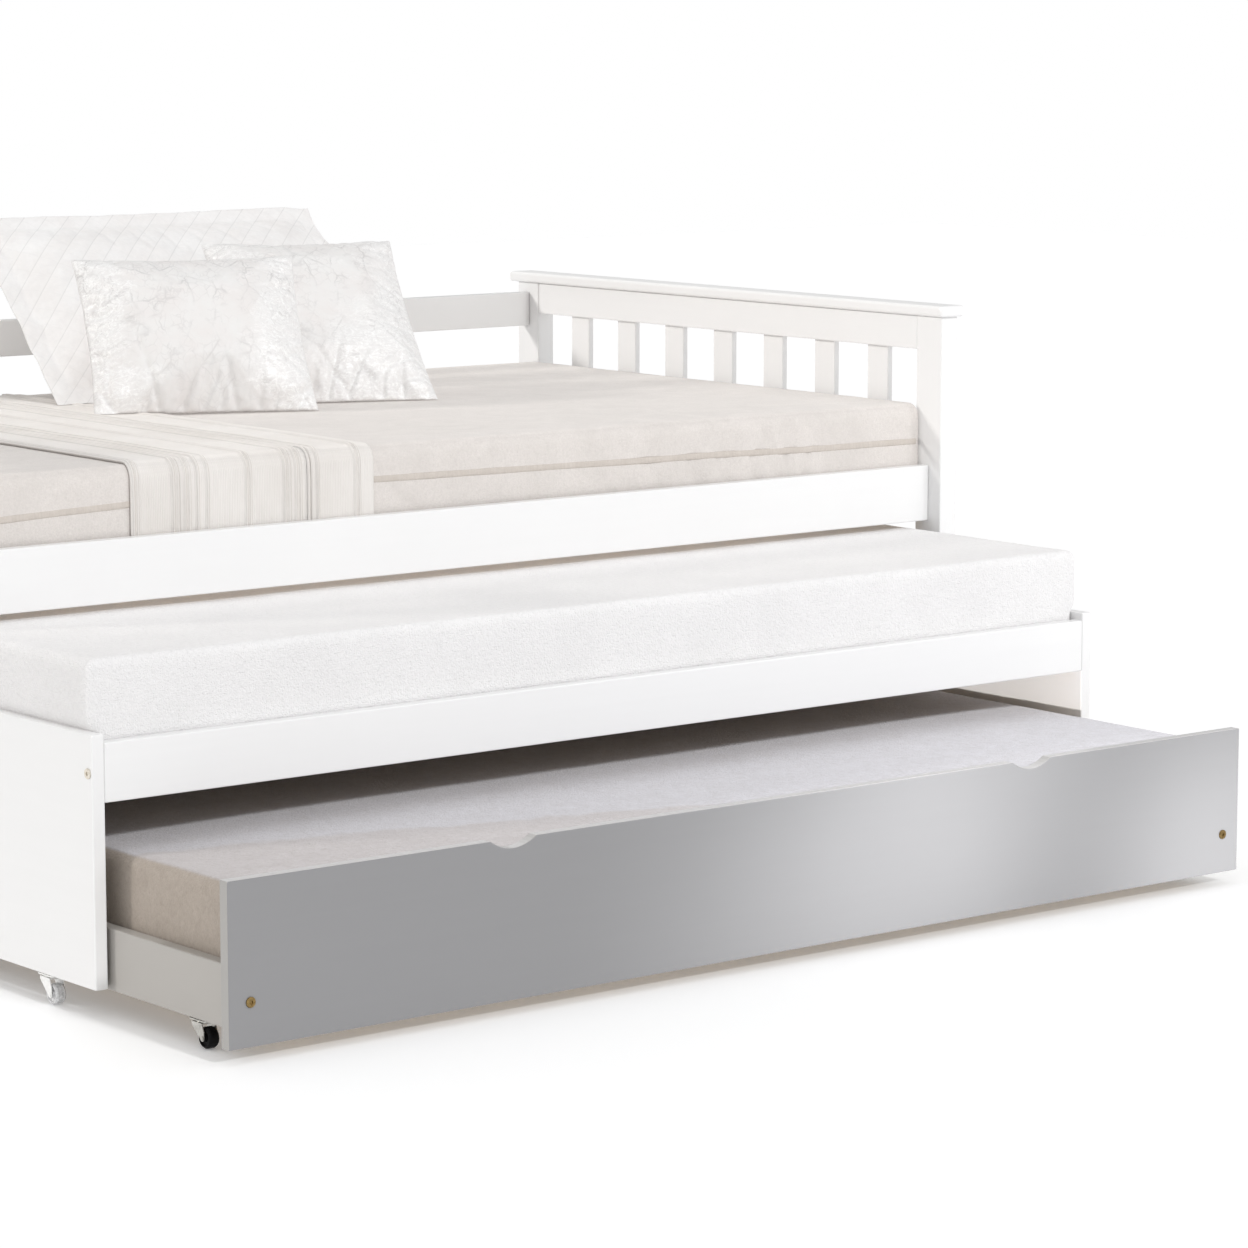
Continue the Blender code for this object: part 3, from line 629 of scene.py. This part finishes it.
def fold_dip(x, height, folds):
    """How far the folds set a cover's front wall back at x and a height."""
    dip = 0.0
    for place, wide, depth in folds:
        bent = place + 0.012 * np.sin(height * 60 + place * 9)
        dip = dip + depth * np.exp(-((x - bent) / wide) ** 2)
    return dip


def fuller_front(x):
    """How much further forward the daybed mattress's front wall stands towards its right end."""
    return FULLER_FRONT * eased((x - FULLER_FROM) / FULLER_OVER)


def seam(name, node, look, body, slot, proud):
    """The flat taped seam round a mattress cover."""
    low, high = node_box(node)
    loop = rounded_loop(low - proud, high + proud, 0.012)
    path = []
    for x, y in loop:
        wander = 0.0014 * noise.noise(Vector((x * 5, y * 5, 1.0)))
        height = SEAM_HEIGHT - SEAM_SLOPE * x - SEAM_DROP * max(0.0, SEAM_TURN - x)
        in_front = y < low[1] + 0.013
        dip = TAPE_DIP * fold_dip(x, height, BED_FOLDS) - fuller_front(x)
        path.append((x, y + dip * in_front, height + wander))
    place_piece(name, band(name, path, SEAM_HALF_TALL, SEAM_PROUD), look, body, slot)


# ---- throw

def throw_profile(low, high, radius, step=0.012):
    """(y, z, outward y, outward z) up the mattress's front, over its edge and back along its top."""
    front, top = low[1], high[2]
    spots = []
    count = round((top - radius - THROW_TUCK) / step)
    for k in range(count):
        spots.append((front, THROW_TUCK + (top - radius - THROW_TUCK) * k / count, -1.0, 0.0))
    for k in range(9):
        a = math.pi - k / 8 * math.pi / 2
        spots.append((front + radius * (1 + math.cos(a)), top - radius * (1 - math.sin(a)),
                      math.cos(a), math.sin(a)))
    start = front + radius
    count = round((THROW_BACK - start) / step)
    for k in range(1, count + 1):
        spots.append((start + (THROW_BACK - start) * k / count, top, 0.0, 1.0))
    return spots


def rib_places(left, right):
    places, start = [], left + RIB_START
    while start < right:
        places += [start + o for o in RIB_OFFSETS if start + o < right - 0.006]
        start += RIB_REPEAT
    return places


def folded_section(left, right):
    """(x, height) across the throw: three layers with two rolled folds, ribs in the top one."""
    ribs = rib_places(left, right)
    turn = LAYER_PITCH / 2
    xs = list(np.arange(left, right, 0.012)) + [right]
    first = LAYER_THICK / 2
    second = first + LAYER_PITCH
    section = [(x, first) for x in xs]
    for k in range(1, 4):
        a = -math.pi / 2 + math.pi * k / 4
        section.append((right + turn * math.cos(a), first + turn * (1 + math.sin(a))))
    section += [(x, second) for x in reversed(xs)]
    for k in range(1, 4):
        a = -math.pi / 2 - math.pi * k / 4
        section.append((left + turn * math.cos(a), second + turn * (1 + math.sin(a))))
    fine = sorted({*[round(x, 5) for x in np.arange(left, right, 0.006)],
                   *[round(r + RIB_HALF * s, 5) for r in ribs for s in (-1, -0.5, 0, 0.5, 1)]})
    for x in fine + [right]:
        near = min((abs(x - r) for r in ribs), default=1.0)
        rise = RIB_TALL * max(0.0, 1 - (near / RIB_HALF) ** 2)
        section.append((x, second + LAYER_PITCH + rise))
    return section


def build_throw(look, cover):
    """The throw lies on the finished mattress cover, found by looking along each spot's normal."""
    under = BVHTree.FromPolygons([v.co.copy() for v in cover.data.vertices],
                                 [tuple(p.vertices) for p in cover.data.polygons])
    low, high = node_box("daybed_mattress")
    high[2] = BED_TOP + 0.001
    span = node_box("throw")
    left, right = span[0][0], span[1][0]
    profile = throw_profile(low, high, THROW_BEND)
    section = folded_section(left + 0.001, right - 0.001)
    points, faces = [], []
    for y, z, ny, nz in profile:
        out_way = Vector((0.0, ny, nz))
        for x, h in section:
            spot = Vector((x, y, z))
            hit = under.ray_cast(spot + out_way * 0.03, -out_way)[0]
            slack = 0.0004 * (1 + noise.noise(spot * 9))
            points.append(tuple(hit + out_way * (THROW_CLEAR + h + slack)))
    wide = len(section)
    for k in range(len(profile) - 1):
        for i in range(wide - 1):
            a = k * wide + i
            faces.append((a, a + 1, a + wide + 1, a + wide))
    made = place_piece("throw_cloth", made_from("throw_cloth", points, faces), look, "daybed",
                       "ribbed_throw", "throw")
    solid = made.modifiers.new("cloth_thickness", "SOLIDIFY")
    solid.thickness = LAYER_THICK
    solid.offset = 0.0


# ---- cushions

def pillow_grid(wide, tall, thick, step, pull, flange=0.0):
    """Two crowned panels sewn round their edge. x runs across, y up and z out of the front."""
    across, up = round(wide / step), round(tall / step)
    points, faces, seam_points = [], [], []
    index = {}
    core_x, core_y = 1 - 2 * flange / wide, 1 - 2 * flange / tall
    for side in (1, -1):
        for i in range(across + 1):
            for j in range(up + 1):
                u, v = 2 * i / across - 1, 2 * j / up - 1
                rim = i in (0, across) or j in (0, up)
                if rim and side < 0:
                    index[side, i, j] = index[1, i, j]
                    continue
                cu, cv = min(1.0, abs(u) / core_x), min(1.0, abs(v) / core_y)
                swell = math.sqrt(max(0.0, (1 - cu ** 3) * (1 - cv ** 3)))
                x = u * wide / 2 * (1 - pull * (1 - v ** 2) * abs(u))
                y = v * tall / 2 * (1 - pull * (1 - u ** 2) * abs(v))
                rest = 0.0 if rim else 0.0012
                index[side, i, j] = len(points)
                points.append((x, y, side * (swell * thick / 2 + rest)))
                if cu == 1.0 or cv == 1.0:
                    seam_points.append(len(points) - 1)
        for i in range(across):
            for j in range(up):
                quad = [index[side, a, b] for a, b in ((i, j), (i + 1, j), (i + 1, j + 1), (i, j + 1))]
                faces.append(quad if side > 0 else quad[::-1])
    return np.array(points), faces, seam_points


def inflate(name, points, faces, pinned, cap, slack):
    """Blows a sewn cover up with cloth simulation; slack is how much spare cloth each point has."""
    work = add_object(name, made_from(name, points, faces))
    pins = work.vertex_groups.new(name="seam")
    pins.add(pinned, 1.0, "REPLACE")
    spare = work.vertex_groups.new(name="spare")
    for i, weight in enumerate(slack):
        spare.add([i], float(weight), "REPLACE")
    cloth = work.modifiers.new("cloth", "CLOTH")
    settings = cloth.settings
    settings.quality = 4
    settings.mass = 0.25
    settings.use_pressure = True
    settings.uniform_pressure_force = 4.0
    settings.tension_stiffness = 12.0
    settings.compression_stiffness = 12.0
    settings.shear_stiffness = 4.0
    settings.bending_stiffness = 0.05
    settings.vertex_group_mass = "seam"
    settings.vertex_group_shrink = "spare"
    settings.shrink_min = -0.02
    settings.shrink_max = -0.16
    settings.effector_weights.gravity = 0.0
    cloth.collision_settings.use_collision = False
    cloth.collision_settings.use_self_collision = False
    scene = bpy.context.scene
    cloth.point_cache.frame_start = 1
    cloth.point_cache.frame_end = SIM_FRAMES
    for k in range(1, SIM_FRAMES + 1):
        scene.frame_set(k)
    seen = work.evaluated_get(bpy.context.evaluated_depsgraph_get())
    moved = np.array([tuple(v.co) for v in seen.data.vertices])
    scene.frame_set(1)
    bpy.data.objects.remove(work, do_unlink=True)
    step = moved - points
    length = np.linalg.norm(step, axis=1, keepdims=True)
    return points + step * np.minimum(1.0, cap / np.maximum(length, 1e-9))


def smoothed(mesh):
    """The mesh with one level of subdivision applied."""
    work = add_object("work", mesh)
    change = work.modifiers.new("fine", "SUBSURF")
    change.levels = 1
    change.render_levels = 1
    seen = work.evaluated_get(bpy.context.evaluated_depsgraph_get())
    made = bpy.data.meshes.new_from_object(seen)
    bpy.data.objects.remove(work, do_unlink=True)
    return made


def stand(spot, turn, lean, tall, sink):
    """The matrix that stands a pillow on its lower edge, turned and leaning back. sink is how far it
    settles beyond its edge's middle."""
    along = Vector((math.cos(turn), math.sin(turn), 0))
    away = Vector((-math.sin(turn), math.cos(turn), 0))
    up = away * math.cos(lean) + Vector((0, 0, 1)) * math.sin(lean)
    face = along.cross(up)
    matrix = Matrix((along, up, face)).transposed().to_4x4()
    matrix.translation = Vector((spot[0], spot[1], PILLOW_REST)) + up * (tall / 2 - sink)
    return matrix


def settle(points, matrix):
    """Presses what would be below the mattress's or the throw's face up to it."""
    left, right = (corner[0] for corner in node_box("throw"))
    world = points @ np.array(matrix.to_3x3()).T + np.array(matrix.translation)
    over_throw = np.clip((world[:, 0] - left) / 0.01, 0, 1)
    over_throw *= np.clip((right + 0.01 - world[:, 0]) / 0.01, 0, 1)
    rest = PILLOW_REST + THROW_RISE * over_throw
    world[:, 2] += np.maximum(rest - world[:, 2], 0.0)
    back = np.array(matrix.inverted().to_3x3())
    return (world - np.array(matrix.translation)) @ back.T


def build_pillow(name, node, spec, look, slot, spare_at, flange=0.0, dress=None):
    wide, tall, thick = spec["size"]
    points, faces, rim = pillow_grid(wide, tall, thick * UNBLOWN, spec["step"], spec["pull"], flange)
    points = inflate(name, points, faces, rim, spec["cap"], spare_at(points, wide, tall))
    if dress:
        points = dress(points, wide, tall)
    matrix = stand(spec["spot"], spec["turn"], spec["lean"], tall, spec["pull"] * tall / 2)
    points = settle(points, matrix)
    mesh = smoothed(made_from(name, points, faces))
    mesh.name = name
    made = place_piece(name, mesh, look, "daybed", slot, node, matrix=matrix)


def cushion_slack(points, wide, tall):
    """Spare cloth near the bottom seam and the two sides, where the cover gathers."""
    side = np.clip(np.abs(points[:, 0]) / (wide / 2) * 2.2 - 1.2, 0, 1)
    bottom = np.clip(-points[:, 1] / (tall / 2) * 1.8 - 0.7, 0, 1)
    return np.maximum(side * 0.8, bottom)


def sham_slack(points, wide, tall):
    return np.full(len(points), 0.3)


def gathers(points, wide, tall):
    """Creases that run up from the bottom seam and in from the sides, where the cover is drawn in."""
    draw = np.random.default_rng(round(wide * 1000))
    x, y = points[:, 0], points[:, 1]
    up = y + tall / 2
    dip = np.zeros(len(points))
    place = -wide / 2 + 0.02
    while place < wide / 2 - 0.01:
        slant, reach = draw.uniform(-0.7, 0.7), draw.uniform(0.014, 0.030)
        away = (x - place - slant * up) / draw.uniform(0.0035, 0.007)
        dip += draw.uniform(0.005, 0.010) * np.exp(-away ** 2) * fading(up, reach)
        place += draw.uniform(0.018, 0.042)
    for hand in (-1, 1):
        inward = wide / 2 - hand * x
        place = -tall / 2 + 0.02
        while place < tall / 2:
            slant, reach = draw.uniform(-0.9, 0.2), draw.uniform(0.012, 0.030)
            away = (y - place - slant * inward) / draw.uniform(0.003, 0.006)
            dip += draw.uniform(0.002, 0.0045) * np.exp(-away ** 2) * fading(inward, reach)
            place += draw.uniform(0.012, 0.028)
    moved = points.copy()
    moved[:, 2] -= np.sign(points[:, 2]) * np.minimum(dip, np.abs(points[:, 2]) * 0.6)
    return moved


def fading(distance, reach):
    """Rises from a seam to 1 at the reach and fades beyond it."""
    share = np.maximum(distance, 0.0) / reach
    return share * np.exp(1 - share)


SPECS = {
    "left_cushion": {"spot": (-0.102, 0.383), "turn": math.radians(-20.6),
                     "lean": math.radians(54.5), "size": (0.379, 0.308, 0.100),
                     "step": 0.004, "pull": 0.035, "cap": 0.016, "fill": 0.7},
    "right_cushion": {"spot": (0.183, 0.407), "turn": math.radians(-19.4),
                      "lean": math.radians(41.3), "size": (0.341, 0.391, 0.100),
                      "step": 0.004, "pull": 0.035, "cap": 0.016, "fill": 0.7},
    "quilted_sham": {"spot": (0.119, 0.627), "turn": 0.0,
                     "lean": math.radians(45.1), "size": (0.722, 0.432, 0.100),
                     "step": 0.006, "pull": 0.02, "cap": 0.012, "fill": 0.5},
}


def quilt_relief(points, wide, tall):
    """Wadding that puffs between slanting rows of stitches."""
    x, y = points[:, 0], points[:, 1]
    bend = QUILT_BEND[0] * np.sin(y * QUILT_BEND[1])
    rows = np.abs(np.sin(np.pi * (x + bend - y) / QUILT_PITCH)) ** 0.5
    cross = np.abs(np.sin(np.pi * (x + bend + y) / QUILT_PITCH)) ** 0.5
    puff = 0.0036 * rows * (0.85 + 0.15 * cross)
    edge = np.clip((wide / 2 - np.abs(x)) / 0.02, 0, 1)
    edge *= np.clip((tall / 2 - np.abs(y)) / 0.02, 0, 1)
    frill = np.clip(1.6 - (wide / 2 - np.abs(x)) / 0.035, 0, 1)
    moved = points.copy()
    moved[:, 2] += np.where(points[:, 2] >= 0, 1, -1) * puff * edge
    moved[:, 2] += wobble(points, 9.0, 4, 0.004) * (1 - edge)
    moved[:, 2] += wobble(points * np.array([0.5, 1, 0.1]), 16.0, 6, 0.014) * frill
    upper = np.clip(y / (tall / 2), 0, 1) ** 8
    moved[:, 1] += wobble(points * np.array([1, 0.1, 0.1]), 26.0, 5, 0.0022) * upper
    return moved


# ---- stage

def stage():
    scene = bpy.context.scene
    corners = [(-14, -14, 0), (14, -14, 0), (14, 14, 0), (-14, 14, 0)]
    floor = add_object("studio_floor", made_from("studio_floor", corners, [(0, 1, 2, 3)]))
    look = Look("floor_paint", 0.8, Emission_Color=(1.0, 1.0, 1.0, 1.0), Emission_Strength=FLOOR_GLOW)
    drift = look.cloud(0.8, 2.0)
    shade = look.mix(drift, (0.96, 0.96, 0.96), (0.98, 0.98, 0.98))
    floor.data.materials.append(look.done(shade))
    floor.location.z = -0.0005
    floor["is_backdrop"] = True
    studio_world(scene)
    scene.view_settings.view_transform = "Standard"
    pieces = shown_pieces()
    bed = group("lit_bed", pieces)
    panel = group("lit_panel", [frame["nodes"]["lower_front_panel"]])
    studio_light(pieces, floor)
    close_light(bed)
    far_lamp("top_light", FROM_FRONT, 80.0, TOP_POWER, 60.0, (1.0, 1.0, 1.0))
    for x, z, power in PANEL_GLOWS:
        glow(f"panel_glow_{x:.2f}", (x, z), power, panel)


def without(pieces, *words):
    """The pieces whose names hold none of the words."""
    return [item for item in pieces if not any(word in item.name for word in words)]


def studio_light(pieces, floor):
    """The lamps in front and at the left, and those that lift the right end frame, the rails at
    the back and the middle mattress."""
    nodes = frame["nodes"]
    far = [nodes[name] for name in FAR_PIECES]
    ends = [nodes[name] for name in RIGHT_END]
    right_end = group("lit_right_end", ends)
    hard = group("shading_hard", without(pieces, "cushion", "sham", "mattress_cover", "throw"))
    far_lamp("front_light", FROM_FRONT, 32.0, FRONT_POWER, 4.0, COOL,
             group("lit_front", [item for item in pieces if item not in far] + [floor]),
             group("shading_front", without(pieces, "cushion")))
    far_lamp("left_light", FROM_LEFT, 20.0, LEFT_POWER, 7.0, WARM,
             group("lit_left", [item for item in pieces if item not in ends]))
    far_lamp("end_light", FROM_LEFT, 20.0, LEFT_POWER, 7.0, WARM, right_end,
             group("shading_end", without(pieces, "cushion", "sham")))
    far_lamp("inner_light", FROM_LEFT, 20.0, INNER_POWER, 7.0, (1.0, 0.975, 0.95), right_end, hard)
    far_lamp("far_rail_light", FROM_FRONT, 32.0, FAR_RAIL_POWER, 4.0, (1.0, 0.985, 0.965),
             group("lit_far_rails", [nodes[name] for name in FAR_RAILS]), hard)
    middle_cover = group("lit_middle_cover", [bpy.data.objects["middle_mattress_cover"]])
    nothing = group("shading_none", [floor])
    far_lamp("cover_light", FROM_FRONT, 60.0, COVER_FILL, 4.0, (1.0, 0.985, 0.97), middle_cover, nothing)
    under = lamp("under_light", "AREA", UNDER_POWER, (1.0, 0.97, 0.95), middle_cover, nothing)
    under.location = (0.0, 0.12, 0.72)
    under.data.shape = "RECTANGLE"
    under.data.size, under.data.size_y = 1.9, 0.1
    under.visible_camera = False


def close_light(bed):
    """Small lamps: on the whole bed, on the lower mattress and in the opening above it."""
    low_cover = bpy.data.objects["lower_mattress_cover"]
    near_lamp("right_light", (1.8, -2.5, 1.25), 32.0, 0.4, COOL, bed)
    near_lamp("low_light", (0.9, -2.2, 1.25), 90.0, 0.1, (0.92, 0.96, 1.0), group("lit_low", [low_cover]))
    over = node_box("lower_mattress")[1][2] + LAMP_OVER_COVER
    opening = near_lamp("opening_light", (-0.2, -0.5, over), 30.0, 0.004, (1.0, 0.96, 0.93),
                        group("lit_opening", [frame["nodes"]["middle_right_panel"]]))
    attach(opening, "middle_trundle")


def studio_world(scene):
    """White surroundings: the backdrop is seen at full white and lights the bed more softly."""
    world = bpy.data.worlds.new("studio")
    world.use_nodes = True
    tree = world.node_tree
    background = tree.nodes["Background"]
    background.inputs["Color"].default_value = (1.0, 1.0, 1.0, 1.0)
    seen = tree.nodes.new("ShaderNodeLightPath").outputs["Is Camera Ray"]
    strength = tree.nodes.new("ShaderNodeMapRange")
    strength.inputs["To Min"].default_value = AMBIENT
    strength.inputs["To Max"].default_value = 1.0
    tree.links.new(seen, strength.inputs["Value"])
    tree.links.new(strength.outputs["Result"], background.inputs["Strength"])
    scene.world = world


def group(name, items):
    made = bpy.data.collections.new(name)
    for item in items:
        made.objects.link(item)
    return made


def lamp(name, kind, power, colour, receivers=None, shading=None):
    """receivers are what the lamp lights and shading is what casts shadows in it; without them it
    lights everything and everything casts shadows."""
    data = bpy.data.lights.new(name, kind)
    data.energy = power
    data.color = colour
    made = add_object(name, data)
    if receivers:
        made.light_linking.receiver_collection = receivers
    if shading:
        made.light_linking.blocker_collection = shading
    return made


def point_at(made, way):
    made.rotation_euler = way.to_track_quat("-Z", "Y").to_euler()


def far_lamp(name, toward, height, power, soft, colour, receivers=None, shading=None):
    """A distant lamp; toward is its (x, y) direction from the bed, height its angle above it and
    soft how wide it is, in degrees."""
    made = lamp(name, "SUN", power, colour, receivers, shading)
    made.data.angle = math.radians(soft)
    side = Vector((*toward, 0.0)).normalized() * math.cos(math.radians(height))
    point_at(made, -(side + Vector((0, 0, math.sin(math.radians(height))))))


def near_lamp(name, place, power, size, colour, receivers):
    """A small lamp, which isn't seen itself."""
    made = lamp(name, "POINT", power, colour, receivers)
    made.visible_camera = False
    made.data.shadow_soft_size = size
    made.location = place
    return made


def glow(name, spot, power, receivers):
    """A soft pool of light on the lower trundle's front panel, centred at (x, z); the lamp keeps
    its distance when the trundle rolls."""
    made = lamp(name, "SPOT", power, (1.0, 1.0, 1.0), receivers)
    made.data.spot_size = math.radians(34)
    made.data.spot_blend = 1.0
    made.data.shadow_soft_size = 0.15
    middle = Vector((spot[0], node_box("lower_front_panel")[0][1], spot[1]))
    made.location = middle + Vector(GLOW_OFFSET)
    point_at(made, -Vector(GLOW_OFFSET))
    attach(made, "lower_trundle")


def camera():
    data = bpy.data.cameras.new("view")
    data.lens = CAMERA_LENS
    data.sensor_width = 36.0
    data.clip_start = 0.1
    data.clip_end = 60.0
    made = add_object("view", data)
    made.location = CAMERA_PLACE
    made.rotation_euler = (math.radians(90 - CAMERA_DOWN), 0.0, math.radians(-CAMERA_YAW))
    bpy.context.scene.camera = made


# ---- the bed

def dress(node, look):
    """Gives a CAD node its finished material."""
    mesh = frame["nodes"][node].data
    mesh.materials.clear()
    mesh.materials.append(look)


def dress_woodwork():
    white = (0.87, 0.868, 0.866)
    paints = [paint(f"white_paint_{axis}", white, k) for k, axis in enumerate("xyz")]
    # Painted shade: the front panel's paint is a darker grey copy of the white paint, with painted light
    # on its side and top faces.
    panel_paint_in_shade = paint("front_panel_paint", (0.260, 0.258, 0.264), 0, 0.3, 0.04, (0.38, 0.37, 0.355))
    warm = paint("side_rail_paint", (0.435, 0.415, 0.388), 1, 0.42)
    wood = pine("slat_pine")
    along_x = ["daybed_front_rail", "daybed_back_rail", "guard_rail", "middle_front_rail",
               "middle_back_rail"]
    along_y, along_z = ["middle_left_panel", "middle_right_panel"], []
    for hand in ("left", "right"):
        along_y += [f"{hand}_cap_rail", f"{hand}_top_rail"]
        along_z += [f"front_{hand}_post", f"back_{hand}_post", f"{hand}_slat_panel"]
    for names, look in ((along_x, paints[0]), (along_y, paints[1]), (along_z, paints[2])):
        for name in names:
            dress(name, look)
    dress("lower_front_panel", panel_paint_in_shade)
    for name in ("lower_left_rail", "lower_right_rail", "lower_back_rail"):
        dress(name, warm)
    for name in ("daybed_base", "middle_base", "lower_base"):
        dress(name, wood)


def dress_metal():
    brass = metal("bolt_brass", (0.36, 0.25, 0.10), (0.18, 0.12, 0.05), 0.34, 260.0)
    pale_brass = metal("pale_bolt_brass", (0.86, 0.81, 0.72), (0.72, 0.67, 0.58), 0.45, 260.0)
    zinc = metal("caster_zinc", (0.62, 0.61, 0.58), (0.44, 0.43, 0.40), 0.34, 120.0)
    pale_zinc = metal("pale_caster_zinc", (0.94, 0.94, 0.93), (0.86, 0.86, 0.85), 0.6, 120.0)
    black = rubber("caster_tread", (0.004, 0.004, 0.0043))
    pale = rubber("pale_tread", (0.55, 0.55, 0.555))
    for name in frame["nodes"]:
        if name.endswith("_bolt"):
            dress(name, pale_brass if name.startswith("middle") else brass)
        if name.endswith("_plate") or name.endswith("_fork"):
            dress(name, pale_zinc if name.startswith("middle") else zinc)
        if name.endswith("_wheel"):
            dress(name, pale if name.startswith("middle") else black)


def dress_bed():
    # Painted light: the velvet's top is made lighter. Painted shade: the fleece's top is tinted lilac,
    # except in a painted lit strip along its front.
    velvet = pile("velvet_cover", (0.80, 0.755, 0.722), (0.69, 0.65, 0.618), 9.0, 430.0, 0.0009, 0.3,
                  0.5, (1.12, 1.12, 1.12), 0.15)
    terry = towelling("white_towelling", (0.87, 0.86, 0.86), (0.83, 0.82, 0.82))
    front = node_box("lower_mattress")[0][1]
    fleece = pile("beige_fleece", (0.50, 0.44, 0.385), (0.40, 0.345, 0.295), 30.0, 330.0, 0.0018, 0.2,
                  0.6, (1.22, 1.36, 1.64), 0.15, (front, *LIT_FRONT_STRIP))
    piping = pile("seam_tape", (0.66, 0.605, 0.555), (0.60, 0.545, 0.495), 30.0, 600.0, 0.0005, 0.1)
    cover = mattress("daybed_mattress_cover", "daybed_mattress", velvet, "daybed", "velvet_cover",
                     (0.005, 0.016, 0.022), BED_TOP, 0.0012, 0.001, 1, folds=BED_FOLDS,
                     uneven=0.0008)
    seam("daybed_mattress_seam", "daybed_mattress", piping, "daybed", "velvet_cover", 0.0006)
    mattress("middle_mattress_cover", "middle_mattress", terry, "middle_trundle", "white_towelling",
             (0.012, 0.010, 0.016), None, 0.0008, -0.002, 5, spread=(0.397, 0.010))
    mattress("lower_mattress_cover", "lower_mattress", fleece, "lower_trundle", "beige_fleece",
             (0.012, 0.012, 0.016), LOWER_COVER_TOP, 0.0015, 0.007, 9, rise=0.007)
    throw_left = node_box("throw")[0][0]
    cloth = ribbed("ribbed_throw", (0.81, 0.78, 0.75), (0.75, 0.715, 0.68), 0.0016,
                   throw_left + RIB_START)
    build_throw(cloth, cover)
    for name, low_foil in (("left_cushion", 0.0), ("right_cushion", 0.8)):
        spec = SPECS[name]
        wide, tall, _ = spec["size"]
        foil = crackle(f"{name}_foil", wide / 2, tall / 2, low_foil)
        build_pillow(f"{name}_cover", name, spec, foil, "crackle_foil", cushion_slack, dress=gathers)
    build_pillow("quilted_sham_cover", "quilted_sham", SPECS["quilted_sham"], quilted("quilted_cotton"),
                 "quilted_cotton", sham_slack, 0.04, quilt_relief)


dress_woodwork()
dress_metal()
dress_bed()
stage()
camera()
